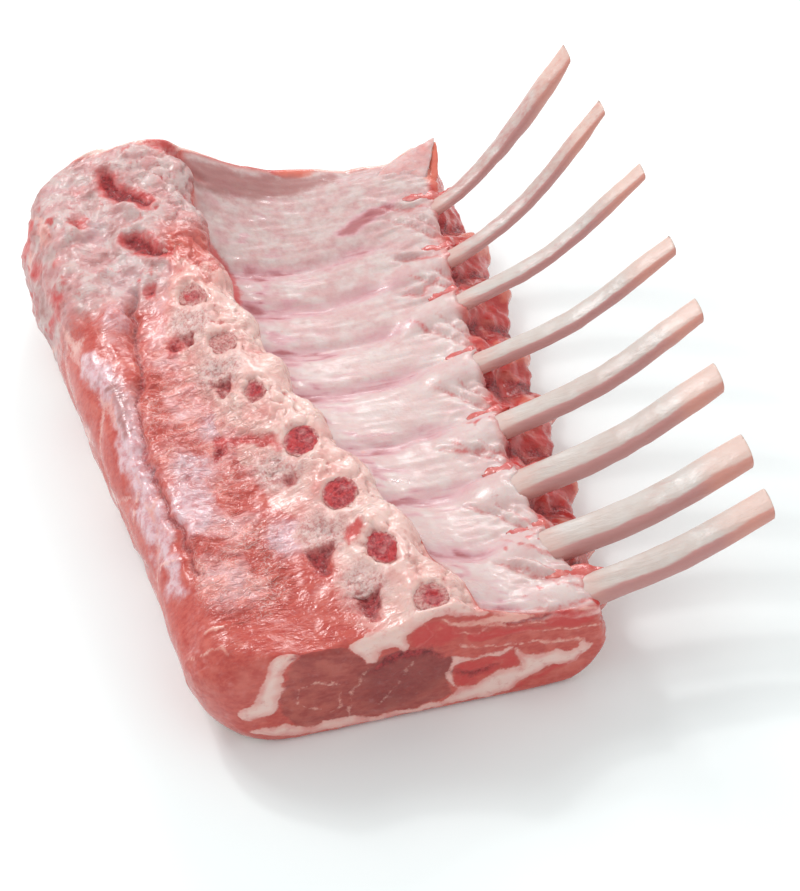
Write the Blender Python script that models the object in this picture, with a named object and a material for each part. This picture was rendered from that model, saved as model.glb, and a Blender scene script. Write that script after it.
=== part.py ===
"""Raw rack of lamb, frenched: one piece of meat with eight rib bones, lying on its fat side.

Frame: metres, +Z up. +Y runs along the back from the loin end to the shoulder end, and +X from
the back towards the rib tips. The origin is on the face that the rack rests on, below the meat.
Dimensions below are in millimetres.
"""

import math

import bmesh
import bpy
from mathutils import Vector

MM = 0.001

# The meat, end to end. Both ends are flat cuts that meet the back in a round corner, and the
# shoulder end runs back a little towards the ribs.
LOIN_END_Y = -112
SHOULDER_END_Y = 118
SHOULDER_SETBACK = 6
LOIN_CORNER = 17
SHOULDER_CORNER = 31

# Its outline at five stations, evenly spaced from the loin end to the shoulder end.
FLANK_X = (-91, -94, -101, -106, -114)  # the outermost line of the back
CREST_X = (-14, -31, -47, -56, -57)  # the row of sawn vertebrae
EDGE_X = (31, 24, 27, 31, 38)  # the edge of the rib lining, where the bones come out
LIP_X = (34, 42, 46, 48, 44)  # the meat under the bones
BACK_Z = (38, 40, 42, 45, 50)
CREST_Z = (46, 48, 49, 50, 51)
GULLY_Z = (40, 34, 32, 33, 44)  # the foot of the vertebrae, where the lining begins
LINING_Z = (35, 29, 27, 26, 31)
EDGE_Z = (32, 30, 29, 30, 33)
FLANK_Z = 23
LIP_Z = 14

# Rib bones, counted from the loin end: where each was sawn off the vertebrae, where it leaves
# the meat, where its tip was sawn off, the height of the tip, and its width.
RIBS = (
    {"head": (-19, -106), "base": (31, -103), "tip": (89, -96), "tip_z": 45, "width": 10.9},
    {"head": (-28, -84), "base": (25, -83), "tip": (89, -76), "tip_z": 48, "width": 12.3},
    {"head": (-35, -60), "base": (24, -56), "tip": (90, -47), "tip_z": 52, "width": 11.4},
    {"head": (-41, -36), "base": (27, -29), "tip": (93, -20), "tip_z": 56, "width": 9.7},
    {"head": (-50, -11), "base": (28, 1), "tip": (94, 9), "tip_z": 59, "width": 8.2},
    {"head": (-55, 13), "base": (30, 31), "tip": (95, 43), "tip_z": 63, "width": 7.2},
    {"head": (-60, 37), "base": (34, 54), "tip": (90, 72), "tip_z": 69, "width": 6.8},
    {"head": (-62, 63), "base": (35, 81), "tip": (86, 99), "tip_z": 73, "width": 6.6},
)
RIB_THICKNESS = 0.6  # share of its width
RIB_BASE_Z = 30
RIB_BOW = 0.28  # share of its rise that a bare rib has gained half way
RIB_COVER = 1.5  # meat over a rib under the lining
HEAD_RADIUS = 5.6
HEAD_TILT = Vector((0.25, 0.1, -0.96))  # from the sawn face into the meat
NECK = 18  # from the sawn face to the bend of the rib

# Stubs of the vertebrae that the saw left in the meat beside the rib heads.
STUBS = ((-36, -95), (-43, -72), (-50, -44), (-59, 1), (-64, 25))
STUB_RADIUS = 4.6
STUB_DEPTH = 7
STUB_TAPER = 0.65

GAP = 0.3  # between separate solids that touch

# Mesh resolution.
ROUND_SECTION = 3
LOFT_STEPS = 22
RIB_SIDES = 10
RIB_STEPS = 3
STUB_SIDES = 10


def mix(a, b, share):
    return a + (b - a) * share


def curve_through(points, closed, steps):
    """Points along a Catmull-Rom curve through the given vectors, with steps spans to each."""
    count = len(points)
    made = []
    for i in range(count if closed else count - 1):
        if closed:
            p0, p1, p2, p3 = (points[(i + k) % count] for k in (-1, 0, 1, 2))
        else:
            p1, p2 = points[i], points[i + 1]
            p0 = points[i - 1] if i else 2 * p1 - p2
            p3 = points[i + 2] if i + 2 < count else 2 * p2 - p1
        made += [spline(p0, p1, p2, p3, k / steps) for k in range(steps)]
    if not closed:
        made.append(points[-1])
    return made


def spline(p0, p1, p2, p3, f):
    """The Catmull-Rom curve between p1 and p2."""
    return 0.5 * (
        2 * p1
        + (p2 - p0) * f
        + (2 * p0 - 5 * p1 + 4 * p2 - p3) * f**2
        + (3 * p1 - p0 - 3 * p2 + p3) * f**3
    )


def along(values, t):
    """A driving dimension at t, from 0 at the loin end to 1 at the shoulder end."""
    place = min(max(t, 0.0), 1.0) * (len(values) - 1)
    i = min(int(place), len(values) - 2)
    before = values[i - 1] if i else 2 * values[0] - values[1]
    after = values[i + 2] if i + 2 < len(values) else 2 * values[-1] - values[-2]
    return spline(before, values[i], values[i + 1], after, place - i)


def station(y):
    """How far along the meat y is, from 0 to 1."""
    return (y - LOIN_END_Y) / (SHOULDER_END_Y - LOIN_END_Y)


def corner_inset(distance, radius):
    """How far the back is drawn in at a distance from an end, to round its corner."""
    within = max(radius - distance, 0.0)
    return radius - math.sqrt(radius**2 - within**2)


def section(t):
    """The meat's outline across the ribs at t: (x, z), clockwise from the resting face."""
    length = SHOULDER_END_Y - LOIN_END_Y
    flank = along(FLANK_X, t)
    flank += corner_inset(length * t, LOIN_CORNER)
    flank += corner_inset(length * (1 - t), SHOULDER_CORNER)
    crest = along(CREST_X, t)
    edge, lip = along(EDGE_X, t), along(LIP_X, t)
    back_z, crest_z = along(BACK_Z, t), along(CREST_Z, t)
    gully_z, lining_z, edge_z = along(GULLY_Z, t), along(LINING_Z, t), along(EDGE_Z, t)
    gully = crest + 12
    span = crest - flank
    points = [
        (flank + 18, 0),
        (flank + 6, 5),
        (flank, FLANK_Z),
        (flank + 4, back_z - 7),
        (flank + min(14, 0.26 * span), back_z),
        (mix(flank, crest, 0.5), back_z - 1),
        (crest - min(15, 0.28 * span), mix(back_z, crest_z, 0.4)),
        (crest - 5, crest_z),
        (crest + 3, crest_z - 1),
        (crest + 8, crest_z - 5),
        (gully, gully_z),
        (mix(gully, edge, 0.35), lining_z),
        (mix(gully, edge, 0.75), mix(lining_z, edge_z, 0.6)),
        (edge, edge_z),
        (mix(edge, lip, 0.5), edge_z - 7),
        (lip, LIP_Z),
        (lip - 6, 4),
        (lip - 16, 0),
        (mix(flank, lip, 0.5), 0),
    ]
    return [Vector(point) for point in points]


def shoulder_face(x):
    """The y of the shoulder end at x."""
    return SHOULDER_END_Y - SHOULDER_SETBACK * (x - FLANK_X[-1]) / (EDGE_X[-1] - FLANK_X[-1])


def meat_rings():
    """The loft of the meat's outlines, which lie closer together towards both ends."""
    rings = []
    for k in range(LOFT_STEPS + 1):
        t = (1 - math.cos(math.pi * k / LOFT_STEPS)) / 2
        outline = curve_through(section(t), closed=True, steps=ROUND_SECTION)
        rings.append(
            [Vector((p.x, mix(LOIN_END_Y, shoulder_face(p.x), t), max(p.y, 0))) for p in outline]
        )
    return rings


def rib_route(rib):
    """Points along a rib's middle, from its sawn head under the lining and out to its tip."""
    t = station(rib["head"][1])
    head = Vector((*rib["head"], along(CREST_Z, t)))
    base = Vector((*rib["base"], RIB_BASE_Z))
    tip = Vector((*rib["tip"], rib["tip_z"]))
    neck = head + HEAD_TILT * NECK
    under = rib["width"] * RIB_THICKNESS / 2 + RIB_COVER
    gully = Vector((head.x + 22, mix(head.y, base.y, 0.35), along(LINING_Z, t) - under))
    hidden = gully.lerp(base, 0.6)
    hidden.z = mix(gully.z, base.z, 0.35)
    half_way = base.lerp(tip, 0.5)
    half_way.z = mix(base.z, tip.z, RIB_BOW)
    route = [head, neck, gully, hidden, base, half_way, tip]
    return curve_through(route, closed=False, steps=RIB_STEPS)


def rib_rings(rib, spare=0.0):
    """Oval rings along a rib. The head is round, and the tip is sawn parallel to the back."""
    route = rib_route(rib)
    run = route[-1] - route[0]
    side = Vector((-run.y, run.x, 0)).normalized()
    rings = []
    for i, point in enumerate(route):
        ahead = route[min(i + 1, len(route) - 1)] - route[max(i - 1, 0)]
        up = ahead.cross(side).normalized()
        swell = max(0.0, 1 - i / (2 * RIB_STEPS))
        half_width = mix(rib["width"] / 2, HEAD_RADIUS, swell) + spare
        half_depth = mix(rib["width"] * RIB_THICKNESS / 2, HEAD_RADIUS, swell) + spare
        turns = [2 * math.pi * k / RIB_SIDES for k in range(RIB_SIDES)]
        rings.append(
            [point + side * half_width * math.cos(a) + up * half_depth * math.sin(a) for a in turns]
        )
    for corner in rings[-1]:
        corner.x = route[-1].x
    return rings


def stub_rings(place, spare=0.0, rise=0.0):
    """A tapered plug of bone, widest at its sawn face, which a cutter carries on upwards."""
    t = station(place[1])
    top = Vector((*place, mix(along(BACK_Z, t), along(CREST_Z, t), 0.45)))
    levels = [(0.0, 1.0), (STUB_DEPTH + spare, STUB_TAPER)]
    if rise:
        levels.insert(0, (-rise, 1.0))
    turns = [2 * math.pi * k / STUB_SIDES for k in range(STUB_SIDES)]
    rings = []
    for depth, share in levels:
        radius = STUB_RADIUS * share + spare
        rings.append(
            [top + Vector((radius * math.cos(a), radius * math.sin(a), -depth)) for a in turns]
        )
    return rings


def skin(name, rings):
    """A closed solid through rings of points in millimetres, with flat ends."""
    bm = bmesh.new()
    rows = [[bm.verts.new(point * MM) for point in ring] for ring in rings]
    for row, following in zip(rows, rows[1:]):
        for i in range(len(row)):
            j = (i + 1) % len(row)
            bm.faces.new((row[i], row[j], following[j], following[i]))
    ends = [bm.faces.new(list(reversed(rows[0]))), bm.faces.new(rows[-1])]
    bmesh.ops.triangulate(bm, faces=ends)
    bmesh.ops.recalc_face_normals(bm, faces=bm.faces)
    mesh = bpy.data.meshes.new(name)
    bm.to_mesh(mesh)
    bm.free()
    mesh.shade_smooth()
    mesh.set_sharp_from_angle(angle=math.radians(40))
    made = bpy.data.objects.new(name, mesh)
    bpy.context.scene.collection.objects.link(made)
    return made


def material(name, colour, roughness):
    made = bpy.data.materials.new(name)
    made.use_nodes = True
    shader = made.node_tree.nodes["Principled BSDF"]
    shader.inputs["Base Color"].default_value = (*colour, 1.0)
    shader.inputs["Roughness"].default_value = roughness
    shader.inputs["Metallic"].default_value = 0.0
    return made


def make_bone(name, rings, bone):
    made = skin(name, rings)
    made.data.materials.append(bone)


def hollow(target, name, rings):
    """Cuts room for a bone out of the meat."""
    cutter = skin(name, rings)
    cutter.hide_render = True
    cutter.display_type = "WIRE"
    made = target.modifiers.new(name, "BOOLEAN")
    made.operation = "DIFFERENCE"
    made.solver = "EXACT"
    made.object = cutter


def main():
    for old in list(bpy.data.objects):
        bpy.data.objects.remove(old, do_unlink=True)
    flesh = material("raw_meat", (0.56, 0.17, 0.14), 0.35)
    bone = material("rib_bone", (0.78, 0.62, 0.52), 0.45)

    meat = skin("meat", meat_rings())
    meat.data.materials.append(flesh)
    for number, rib in enumerate(RIBS, start=1):
        make_bone(f"rib_{number}", rib_rings(rib), bone)
        channel = rib_rings(rib, spare=GAP)
        above = [corner - HEAD_TILT * 8 for corner in channel[0]]
        hollow(meat, f"rib_channel_{number}", [above, *channel])
    for number, place in enumerate(STUBS, start=1):
        make_bone(f"chine_stub_{number}", stub_rings(place), bone)
        hollow(meat, f"stub_pocket_{number}", stub_rings(place, spare=GAP, rise=9.0))


main()
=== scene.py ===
"""Raw rack of lamb, frenched: the looks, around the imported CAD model.

Everything is worked out in millimetres in the CAD's frame, and turned into metres when a mesh is
made: +Y runs along the back from the loin end to the shoulder end, +X from the back to the rib
tips, and +Z up. Masks are in millimetres too: positive inside a patch, zero on its edge.
"""

import itertools
import math
import random

import bpy
import numpy as np
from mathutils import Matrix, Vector
from mathutils.bvhtree import BVHTree
from mathutils.geometry import delaunay_2d_cdt


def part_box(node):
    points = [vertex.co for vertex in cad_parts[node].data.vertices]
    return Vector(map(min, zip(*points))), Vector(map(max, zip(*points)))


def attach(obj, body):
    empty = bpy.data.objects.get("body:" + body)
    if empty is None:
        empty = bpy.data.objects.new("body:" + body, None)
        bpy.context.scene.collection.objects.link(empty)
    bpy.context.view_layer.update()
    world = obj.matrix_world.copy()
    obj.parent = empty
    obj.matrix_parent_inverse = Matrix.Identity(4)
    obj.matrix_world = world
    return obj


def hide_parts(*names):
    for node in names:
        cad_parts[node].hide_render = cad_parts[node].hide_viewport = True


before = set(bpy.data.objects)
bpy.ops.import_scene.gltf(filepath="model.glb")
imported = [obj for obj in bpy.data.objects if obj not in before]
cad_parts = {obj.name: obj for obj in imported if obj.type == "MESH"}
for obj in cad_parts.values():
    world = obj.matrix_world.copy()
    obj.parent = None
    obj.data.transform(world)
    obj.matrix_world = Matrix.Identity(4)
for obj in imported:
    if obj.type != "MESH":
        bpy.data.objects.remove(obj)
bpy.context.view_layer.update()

MM = 0.001

# The meat, end to end, as the CAD has it.
LOIN_END_Y = -112
SHOULDER_END_Y = 118
LENGTH = SHOULDER_END_Y - LOIN_END_Y
SHOULDER_SETBACK = 6
LOIN_CORNER = 17
SHOULDER_CORNER = 31

# Its outline at five stations, evenly spaced from the loin end to the shoulder end.
FLANK_X = (-91, -94, -101, -106, -114)
CREST_X = (-14, -31, -47, -56, -57)
EDGE_X = (31, 24, 27, 31, 38)
LIP_X = (34, 42, 46, 48, 44)
BACK_Z = (38, 40, 42, 45, 50)
CREST_Z = (46, 48, 49, 50, 51)
GULLY_Z = (40, 34, 32, 33, 44)
LINING_Z = (35, 29, 27, 26, 31)
EDGE_Z = (32, 30, 29, 30, 33)
FLANK_Z = 23
LIP_Z = 14

# Where the outline's points are along it, counted from the resting face, up the back and over.
BACK, GULLY, EDGE, LIP = 4, 10, 13, 15
OUTLINE_POINTS = 19

# Mesh resolution: the gaps between the outlines, and between their points at places along them.
ROW_STEP = 0.85
STEPS = (
    (0, 2.8), (1.2, 2.4), (2.2, 1.1), (4, 0.75), (9, 0.75),
    (10.5, 1.05), (12.4, 0.9), (15, 0.9), (16, 2.8), (19, 2.8),
)
FACE_STEP = 0.75
HIDDEN_FACE_STEP = 1.5
ROUND_ROWS = 6
PLUG_SIDES = 44
PLUG_RINGS = 14
SHRED_SIDES = 14
BONE_SIDES = 36
BONE_RINGS = 110

# How much the cut faces' edges are rounded, and the core that they are rounded towards.
LOIN_ROUND = 2.2
SHOULDER_ROUND = 2.4
CORE_LEFT = (-60, -72, -80, -84, -70)
CORE_RIGHT = (16, 22, 26, 28, 22)
CORE_Z = 20

# The fields of the meat's look: shares from 0 up, with the most that some may be, and depths
# inside masks, which are OUTSIDE where there is none.
SHARES = ("film", "band", "tan", "wrinkle", "tint", "pale", "silver", "dusk", "wet")
MOST = {"film": 1.3, "band": 2, "pale": 1, "silver": 1.3, "dusk": 1.3}
DEPTHS = ("fat", "blood_and_shade", "grain", "eye", "sinew")
OUTSIDE = -6.0
MEAT_FIELDS = {**dict.fromkeys((*SHARES, "lining"), 0.0), **dict.fromkeys(DEPTHS, OUTSIDE)}
BONE_FIELDS = dict.fromkeys(("tip", "base", "lower", "marrow", "dark", "crumb"), 0.0)

# Where each part of the surface starts along the outline: the flank, the back, the ridge, the
# gully, the rim past the lining, and the underside.
PART_EDGES = (
    (0.6, 1.6), (3.3, 4.0), (6.2, 7.0),
    (GULLY - 0.9, GULLY - 0.2), (EDGE - 0.3, EDGE + 0.2), (LIP + 0.2, LIP + 1.0),
)

# Each rib's sawn head on the crest: its half widths, its turn and how dark its marrow is.
HEAD_SHAPES = (
    ((4.2, 4.6), 0, 0.1),
    ((3.8, 6.0), 25, 0.8),
    ((4.6, 5.2), 0, 0.75),
    ((4.6, 5.4), -15, 0.85),
    ((2.8, 3.8), 0, 0.45),
    ((3.6, 4.2), 10, -0.4),
    ((3.4, 4.8), 30, 0.0),
    ((2.2, 2.6), 0, 0.2),
)
RIB_COUNT = len(HEAD_SHAPES)
SMALLEST_OPEN_HEAD = 2.5
HEAD_OVERLAP = 1.0

# How far the middle of each rib rises over the CAD's, and how much wider its tip is.
RIB_BOW = (0, 0, 0, 0, 0, 0, 0.6, 2.8)
RIB_FLARE = (0, 0, 0, 0, 0, 0, 0.1, 0.45)

# Where each rib leaves the lining, the places where the ribs are measured, and how square they are.
BASE_X = (31, 25, 24, 27, 28, 30, 34, 35)
RIB_CUTS = np.arange(6.2, 52, 5)
BONE_SQUARENESS = 0.74

# How far a rib starts inside the lining, how far it ends before the CAD's tip, and its tip's rings.
HIDDEN_BONE = 12
TIP_GAP = 0.05
TIP_RINGS = (0.98, 0.9, 0.75, 0.5, 0.25)

# A vertebra stub's sawn face: its half widths and turn, and how far it is behind its hollow.
STUB_COUNT = 5
STUB_RADII = (5.8, 4.8)
STUB_TURN = 15
STUB_SET_BACK = 3.4

# The bloody hollow at each stub's near end, from its middle, and each one's shift and size.
PIT = ((-4.4, -2.6), (4.2, -3.6), (1.2, -12.5), (-1.4, -12.5))
PIT_PLACES = (((0, 2), 1.0), ((-2.5, 0), 1.0), ((1, 1), 0.4), ((0, 0), 0.6), ((-1, 0), 0.5))

# Lines on the meat: the lining's bands, and the silver strip and the crease along the flank.
BAND_Y = (-108, -82, -54, -26, 2, 24, 46, 66)
SILVER = ((-87, -76), (-89, -58), (-90, -40), (-91, -18), (-91, 5), (-97, 26))
SILVER_WIDTHS = (1.6, 2.2, 2.6, 2.8, 2.8, 2.2)
CREASE = ((-81, -72), (-84, -55), (-86, -40), (-88, -20), (-86, 0), (-82, 12), (-80, 33), (-78, 48))

# Loose folds of the membrane: places, and half widths.
FOLDS = (
    (((10, -87), (17, -90), (22, -96), (28, -101)), (0.4, 1.8, 2.2, 0.8)),
    (((-8, -106), (6, -105), (18, -107), (31, -106)), (0.5, 1.2, 1.6, 0.8)),
    (((0, -109), (14, -109), (30, -109)), (0.3, 1.2, 0.8)),
    (((12, -75), (16, -79), (22, -84), (28, -88)), (0.4, 1.6, 1.6, 0.6)),
    (((4, -30), (10, -33), (17, -35), (25, -40)), (0.4, 1.4, 1.6, 0.6)),
    (((12, 44), (18, 43), (25, 47)), (0.4, 1.6, 0.6)),
    (((14, 62), (21, 60), (29, 56)), (0.4, 1.6, 0.6)),
    (((16, 88), (24, 84), (32, 84)), (0.4, 1.4, 0.6)),
)

# The cut faces' upper edges, as (x, z): the shoulder end's, and the loin end's past the crest.
SHOULDER_TOP = ((-112, 22), (-98, 42), (-78, 50), (-57, 51), (-40, 45), (-10, 35), (10, 31), (38, 33))
FACE_TOP = ((-14, 46), (-2, 40), (8, 36), (20, 34), (31, 32))

# How much the shoulder end's upper edge is raised, as (x, rise): a hump, then a dip before the flap.
FAR_RISE = (
    (-100, -4), (-88, -1), (-76, 3), (-50, 3), (-20, 1.5), (0, 0), (10, -4.5), (26, -4.5), (34, 0),
)

# The shreds: what each kind looks like, and how far each starts before a rib's base, how long it
# is and its half width.
SHRED_KINDS = {
    "red": {"tint": 0.75, "film": 0.9},
    "flap": {"film": 1.0, "pale": 0.5, "lining": 0.3},
    "lean": {"tan": 1.2, "tint": 0.5},
}
RED_SHREDS = ((-6, 14, 2.9), (-11, 7, 2.0))
LAST_SHRED_Y = 100
SHRED_LIFT = -0.15
FLAP = ((20, 90, 28.6), (27, 98, 31.0), (35, 105, 33.6), (42, 110.5, 36.6))
FLAP_EDGE = ((35.5, 90, 28.6), (38, 97, 31.0), (40.5, 105, 34.0), (42, 109, 36.0))

# The noises of the two looks: the size, the detail, the roughness and the stretch of each.
MEAT_NOISES = {
    "speck": (1.1, 3, 0.6),
    "patches": (6, 3),
    "mottle": (2.6, 4, 0.65),
    "fibre": (1.7, 3, 0.6, (2.0, 0.8, 1.0)),
    "grains": (1.5, 5, 0.72),
    "streaks": (2.0, 2, 0.5, (7.0, 0.8, 1.0)),
}
BONE_NOISES = {
    "streaks": (2.2, 4, 0.6, (6.0, 1.0, 1.0)),
    "patches": (9, 3),
    "grains": (1.5, 5, 0.72),
    "fine_grains": (0.8, 3, 0.6),
    "clumps": (3.2, 2),
}

# The colours of rough bone, and the stains on the meat, the mauve-brown one of which also carries
# painted shade: the field, how uneven it is, from where to where it comes in, how strong it gets, and
# its colour.
ROUGH_BONE = ((200, 134, 130), (228, 196, 190))
STAINS = (
    ("sinew", 3.0, -1.6, -0.5, 0.6, 0.75, (236, 182, 168)),
    ("tint", 1.4, -0.7, 0.2, 1.3, 0.88, (196, 52, 50)),
    ("tan", 1.0, -0.5, 0.2, 1.1, 0.7, (224, 128, 106)),
    ("dusk", 1.0, -0.5, 0.0, 1.3, 0.85, (158, 100, 96)),
)

# The lights' names, places, sizes and powers, in metres and watts.
LIGHTS = (
    ("key", (-0.5, 0.75, 0.95), 0.4, 4.9),
    ("glint", (-0.42, 0.82, 0.95), 0.08, 1.8),
    ("rim", (0.3, 1.1, 0.7), 0.3, 2.8),
    ("window", (0.62, 0.92, 0.72), 0.08, 1.1),
)
WORLD_STRENGTH = 0.84

# The camera, in metres from the middle, degrees, and millimetres of lens and sensor.
CAMERA_DISTANCE = 0.85
CAMERA_AZIMUTH = -15
CAMERA_ELEVATION = 45
CAMERA_LENS = 103.4
CAMERA_SENSOR = 36

# The floor's half width and its height, just under the meat.
FLOOR_REACH = 3000
FLOOR_Z = -0.2


# ---------------------------------------------------------------- noise and shapes


def mix(a, b, share):
    return a + (b - a) * share


def smooth(low, high, value):
    """0 below low, 1 above high, and an even curve between them."""
    share = np.clip((value - low) / (high - low), 0, 1)
    return share * share * (3 - 2 * share)


def deepest(*masks):
    return np.maximum.reduce(masks)


def hashed(cell, seed):
    """Repeatable numbers from -1 to 1 for whole-number places, one for each axis."""
    made = []
    for axis in range(3):
        n = cell[:, 0] * 374761393 + cell[:, 1] * 668265263 + cell[:, 2] * 1440662683
        n = (n + (seed * 3 + axis) * 974634777) & 0xFFFFFFFF
        n = ((n ^ (n >> 13)) * 1274126177) & 0xFFFFFFFF
        made.append(((n ^ (n >> 16)) & 0xFFFF) / 32767.5 - 1)
    return np.stack(made, axis=1)


def noise(points, size, seed, stretch=(1, 1, 1)):
    """Smooth noise between about -1 and 1, whose lumps are about size across."""
    places = points / (size * np.array(stretch, float)) + seed * 7.31
    base = np.floor(places).astype(np.int64)
    within = places - base
    fade = within**3 * (within * (within * 6 - 15) + 10)
    total = np.zeros(len(points))
    for corner in itertools.product((0, 1), repeat=3):
        slope = hashed(base + np.array(corner), seed)
        weight = np.prod(np.where(corner, fade, 1 - fade), axis=1)
        total += weight * np.sum(slope * (within - corner), axis=1)
    return total * 1.6


def fractal(points, size, seed, octaves=3, stretch=(1, 1, 1)):
    """Noise with finer and weaker noise on it."""
    layers = [noise(points, size / 2**k, seed + k, stretch) / 2**k for k in range(octaves)]
    return sum(layers) / 1.4


def cells(points, size, seed, stretch=(1, 1, 1)):
    """Distances to the nearest and the next seed point of a cell pattern, as shares of size."""
    places = points / (size * np.array(stretch, float))
    base = np.floor(places).astype(np.int64)
    nearest = np.full(len(points), 9.0)
    second = nearest.copy()
    for corner in itertools.product((-1, 0, 1), repeat=3):
        cell = base + np.array(corner)
        gap = np.linalg.norm(cell + 0.5 + 0.45 * hashed(cell, seed) - places, axis=1)
        second = np.minimum(second, np.maximum(nearest, gap))
        nearest = np.minimum(nearest, gap)
    return nearest, second


def bell(offset, width):
    """1 where the offset is 0, falling off to both sides."""
    return np.exp(-((offset / width) ** 2))


def patch(a, b, centre, radii, turn=0):
    """Depth inside an ellipse, in about millimetres. turn is in degrees."""
    angle = math.radians(turn)
    da, db = a - centre[0], b - centre[1]
    along_first = da * math.cos(angle) + db * math.sin(angle)
    along_second = db * math.cos(angle) - da * math.sin(angle)
    reach = np.hypot(along_first / radii[0], along_second / radii[1])
    return (1 - reach) * min(radii)


def stroke(a, b, route, widths):
    """Depth inside a line drawn through the route, with its half width given at each point."""
    if not hasattr(widths, "__len__"):
        widths = [widths] * len(route)
    depth = np.full(np.shape(a), -1e3)
    for (a0, b0), (a1, b1), w0, w1 in zip(route, route[1:], widths, widths[1:]):
        run_a, run_b = a1 - a0, b1 - b0
        share = ((a - a0) * run_a + (b - b0) * run_b) / (run_a**2 + run_b**2)
        share = np.clip(share, 0, 1)
        gap = np.hypot(a - a0 - share * run_a, b - b0 - share * run_b)
        depth = np.maximum(depth, mix(w0, w1, share) - gap)
    return depth


def region(a, b, corners):
    """Depth inside a closed outline of corners."""
    closed = [*corners, corners[0]]
    gap = -stroke(a, b, closed, 0.0)
    inside = np.zeros(np.shape(a), bool)
    for (a0, b0), (a1, b1) in zip(closed, closed[1:]):
        if b0 != b1:
            crosses = (b0 > b) != (b1 > b)
            inside ^= crosses & (a < mix(a0, a1, (b - b0) / (b1 - b0)))
    return np.where(inside, gap, -gap)


# ---------------------------------------------------------------- the meat's mesh


def spline(p0, p1, p2, p3, f):
    """The Catmull-Rom curve between p1 and p2."""
    return 0.5 * (
        2 * p1
        + (p2 - p0) * f
        + (2 * p0 - 5 * p1 + 4 * p2 - p3) * f**2
        + (3 * p1 - p0 - 3 * p2 + p3) * f**3
    )


def along(values, t):
    """A dimension at t, from 0 at the loin end to 1 at the shoulder end."""
    first, last = 2 * values[0] - values[1], 2 * values[-1] - values[-2]
    padded = np.array([first, *values, last], float)
    place = np.clip(t, 0, 1) * (len(values) - 1)
    i = np.minimum(np.floor(place).astype(int), len(values) - 2)
    return spline(*(padded[i + k] for k in range(4)), place - i)


def corner_inset(distance, radius):
    """How far a surface is drawn in at a distance from an end, to round its corner."""
    within = np.maximum(radius - distance, 0)
    return radius - np.sqrt(np.maximum(radius**2 - within**2, 0))


def outline_points(t):
    """The points of the meat's outline across the ribs: stations by points by (x, z)."""
    flank = along(FLANK_X, t) + corner_inset(LENGTH * t, LOIN_CORNER)
    flank = flank + corner_inset(LENGTH * (1 - t), SHOULDER_CORNER)
    painted_glint, edge, lip = (along(values, t) for values in (CREST_X, EDGE_X, LIP_X))
    heights = (BACK_Z, CREST_Z, GULLY_Z, LINING_Z, EDGE_Z)
    back_z, crest_z, gully_z, lining_z, edge_z = (along(values, t) for values in heights)
    gully = painted_glint + 12
    span = painted_glint - flank
    flat = 0 * t
    points = [
        (flank + 18, flat),
        (flank + 6, flat + 5),
        (flank, flat + FLANK_Z),
        (flank + 4, back_z - 7),
        (flank + np.minimum(14, 0.26 * span), back_z),
        (mix(flank, painted_glint, 0.5), back_z - 1),
        (painted_glint - np.minimum(15, 0.28 * span), mix(back_z, crest_z, 0.4)),
        (painted_glint - 5, crest_z),
        (painted_glint + 3, crest_z - 1),
        (painted_glint + 8, crest_z - 5),
        (gully, gully_z),
        (mix(gully, edge, 0.35), lining_z),
        (mix(gully, edge, 0.75), mix(lining_z, edge_z, 0.6)),
        (edge, edge_z),
        (mix(edge, lip, 0.5), edge_z - 7),
        (lip, flat + LIP_Z),
        (lip - 6, flat + 4),
        (lip - 16, flat),
        (mix(flank, lip, 0.5), flat),
    ]
    return np.array(points).transpose(2, 0, 1)


def outlines(t, u):
    """Outlines at stations t, at places u along them: stations by places by (x, z)."""
    points = outline_points(t)
    i = np.floor(u).astype(int)
    near = [points[:, (i + k) % OUTLINE_POINTS] for k in (-1, 0, 1, 2)]
    made = spline(*near, (u - i)[None, :, None])
    made[..., 1] = np.maximum(made[..., 1], 0)
    return made


def outline_places():
    """Places along the outline, close together on top and further apart underneath."""
    u = np.linspace(0, OUTLINE_POINTS, OUTLINE_POINTS * 40 + 1)
    middle = outlines(np.array([0.5]), u % OUTLINE_POINTS)[0]
    steps = np.linalg.norm(np.diff(middle, axis=0), axis=1)
    spacing = np.interp((u[1:] + u[:-1]) / 2, *zip(*STEPS))
    counted = np.concatenate([[0], np.cumsum(steps / spacing)])
    count = int(counted[-1])
    return np.interp(np.arange(count) * counted[-1] / count, counted, u)


def row_places():
    """Distances from the loin end at which the outlines lie, closer together in the corners."""
    turns = 1 - np.cos(np.linspace(0, math.pi / 2, ROUND_ROWS, endpoint=False))
    last = LENGTH - SHOULDER_ROUND
    middle = np.linspace(LOIN_ROUND, last, int((last - LOIN_ROUND) / ROW_STEP) + 1)
    return np.concatenate([LOIN_ROUND * turns, middle, LENGTH - SHOULDER_ROUND * turns[::-1]])


def shoulder_face(x):
    """The y of the shoulder end at x."""
    return SHOULDER_END_Y - SHOULDER_SETBACK * (x - FLANK_X[-1]) / (EDGE_X[-1] - FLANK_X[-1])


def cap(rim, step, seed):
    """Points inside a closed rim of (x, z) and the triangles that fill it."""
    low, high = rim.min(axis=0), rim.max(axis=0)
    a, b = np.meshgrid(np.arange(low[0], high[0], step), np.arange(low[1], high[1], step))
    inner = np.stack([a.ravel(), b.ravel(), 0 * a.ravel()], axis=1)
    inner = (inner + 0.25 * step * hashed(np.round(inner / step).astype(np.int64), seed))[:, :2]
    inner = inner[region(inner[:, 0], inner[:, 1], rim) > 0.6 * step]
    given = [Vector(point) for point in np.concatenate([rim, inner])]
    edges = [(k, (k + 1) % len(rim)) for k in range(len(rim))]
    made = delaunay_2d_cdt(given, edges, [], 1, 1e-6)
    source = [places[0] for places in made[3]]
    return inner, [[source[k] for k in face] for face in made[2]]


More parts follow.
